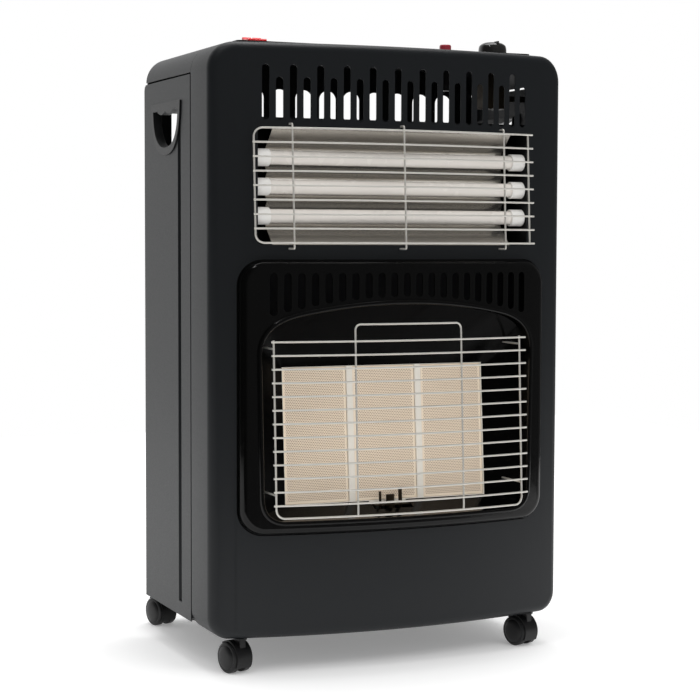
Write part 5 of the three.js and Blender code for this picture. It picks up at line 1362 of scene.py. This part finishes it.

# %% [markdown]
# ## Pieces kept from the CAD part
# The rest sits out of sight behind the heat shield: plenum, gas rail, valve, plug, spindle,
# igniter and axles. Their CAD solids are already right, so they only get a finish.

# %% Finishes for the kept pieces
# The gas rail and valve get the brass that is darkened almost to black.
kept = {"burner_body": zinc_steel, "gas_rail": sooted_brass, "gas_valve": sooted_brass,
        "valve_plug": brass, "knob_spindle": zinc_steel, "piezo_igniter": black_plastic}
kept |= {f"caster_{corner}_axle": zinc_steel for corner in CORNERS}
for node, material in kept.items():
    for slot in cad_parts[node].material_slots:
        slot.material = material
print("kept pieces", len(kept), "new pieces", len(dressed))

# %% [markdown]
# ## Light
# The heater stands on a white sweep in a room that is dark towards the front. That is how
# black things are lit: the bowed face mirrors the dim room and stays dark, while the side
# panel is seen at a low angle and mirrors the white backdrop behind it, so it looks lighter
# although the paint is the same. The world does this by direction. It is white to the camera
# everywhere. To reflections it is white at the rear, dim to the front and nearly black to
# the left, which keeps the rounded left edge of the front dark.

# %% World
world = bpy.data.worlds.new("studio")
bpy.context.scene.world = world
world.use_nodes = True
ROOM_LIGHT, FRONT_MIRRORED, LEFT_MIRRORED = 0.75, 0.17, 0.02
w = Wiring(world.node_tree)
path = w.outputs("ShaderNodeLightPath")
across, depth, _ = w.xyz(w.outputs("ShaderNodeTexCoord")["Generated"])
rear = w.ramp(depth, 0.35, 0.75)
front = w.ramp(across, -0.7, -0.2, LEFT_MIRRORED, FRONT_MIRRORED)
mirrored = w.math("MAXIMUM", rear, front) * path["Is Glossy Ray"]
plain = (1 - path["Is Glossy Ray"]) * ROOM_LIGHT
seen = w.math("MAXIMUM", path["Is Camera Ray"], path["Is Transmission Ray"])
sky = w.nodes["Background"].inputs
sky["Color"].default_value = (1, 1, 1, 1)
w.put(w.math("MAXIMUM", seen, mirrored + plain), sky["Strength"])
print("room light", ROOM_LIGHT, "mirrored towards the front", FRONT_MIRRORED)

# %% [markdown]
# The floor is lit like everything else, so it keeps the heater's shadow. For the camera and
# for reflections it glows a little as well, and more so with distance, so that it runs into
# the white backdrop with no horizon.

# %% Floor and lamps
FLOOR_X, FLOOR_FRONT, FLOOR_REAR = 1.8, -0.7, 2.4
floor_mesh = bpy.data.meshes.new("floor")
floor_mesh.from_pydata([(-FLOOR_X, FLOOR_FRONT, 0), (FLOOR_X, FLOOR_FRONT, 0),
                        (FLOOR_X, FLOOR_REAR, 0), (-FLOOR_X, FLOOR_REAR, 0)], [], [(0, 1, 2, 3)])
floor_mat = finish("floor", (0.9, 0.9, 0.9, 1), 0.9, specular=0.0)
w = Wiring(floor_mat.node_tree)
away = w.node("ShaderNodeVectorMath", {"operation": "LENGTH"},
              Vector=w.outputs("ShaderNodeTexCoord")["Object"])
glow = w.ramp(away.outputs["Value"], 0.4, 1.3, 0.22, 0.4)
path = w.outputs("ShaderNodeLightPath")
seen = w.math("MAXIMUM", path["Is Camera Ray"], path["Is Transmission Ray"])
shown = w.math("MAXIMUM", seen, path["Is Glossy Ray"])
shader_of(floor_mat)["Emission Color"].default_value = (1, 1, 1, 1)
w.put(glow * shown, shader_of(floor_mat)["Emission Strength"])
floor_mesh.materials.append(floor_mat)
linked("floor", floor_mesh)


def area_light(name, at, target, size, power):
    data = bpy.data.lights.new(name, "AREA")
    data.shape, data.size, data.size_y, data.energy = "RECTANGLE", size[0], size[1], power
    obj = linked(name, data)
    obj.location = at
    obj.rotation_euler = (Vector(target) - Vector(at)).to_track_quat("-Z", "Y").to_euler()
    return obj


key = area_light("key", (0.9, -2.4, 2.4), (0, 0, 0.4), (1.4, 1.2), 20)
key.visible_glossy = False
area_light("strip", (-1.3, -1.0, 2.6), (0, 0, 0.5), (0.12, 0.5), 5)
area_light("top", (0.1, 0.3, 2.7), (0, 0, 0.5), (1.8, 1.4), 34)

# %% [markdown]
# ## Camera
# The camera repeats the photograph's: its place and turn were solved from the corners of
# the cabinet, and its long lens keeps the perspective mild.

# %% Camera
LENS, CAMERA_AT = 93.24, (-0.88976, -1.92682, 0.4984)
YAW, PITCH, ROLL = (math.radians(a) for a in (23.479, -3.524, 0.182))
camera_data = bpy.data.cameras.new("camera")
camera_data.lens, camera_data.sensor_width, camera_data.sensor_fit = LENS, 36.0, "HORIZONTAL"
camera_data.clip_end = 50
camera = linked("camera", camera_data)
camera.matrix_world = (Matrix.Translation(Vector(CAMERA_AT) + Vector((0, SHIFT, 0)))
                       @ Matrix.Rotation(-YAW, 4, "Z")
                       @ Matrix.Rotation(math.pi / 2 + PITCH, 4, "X")
                       @ Matrix.Rotation(ROLL, 4, "Z"))
bpy.context.scene.camera = camera
bpy.context.scene.view_settings.view_transform = "Standard"
print("lens", camera_data.lens)

# %% [markdown]
# ## Skins and the CAD part
# A skin may round an edge off, but it never reaches past the CAD part.
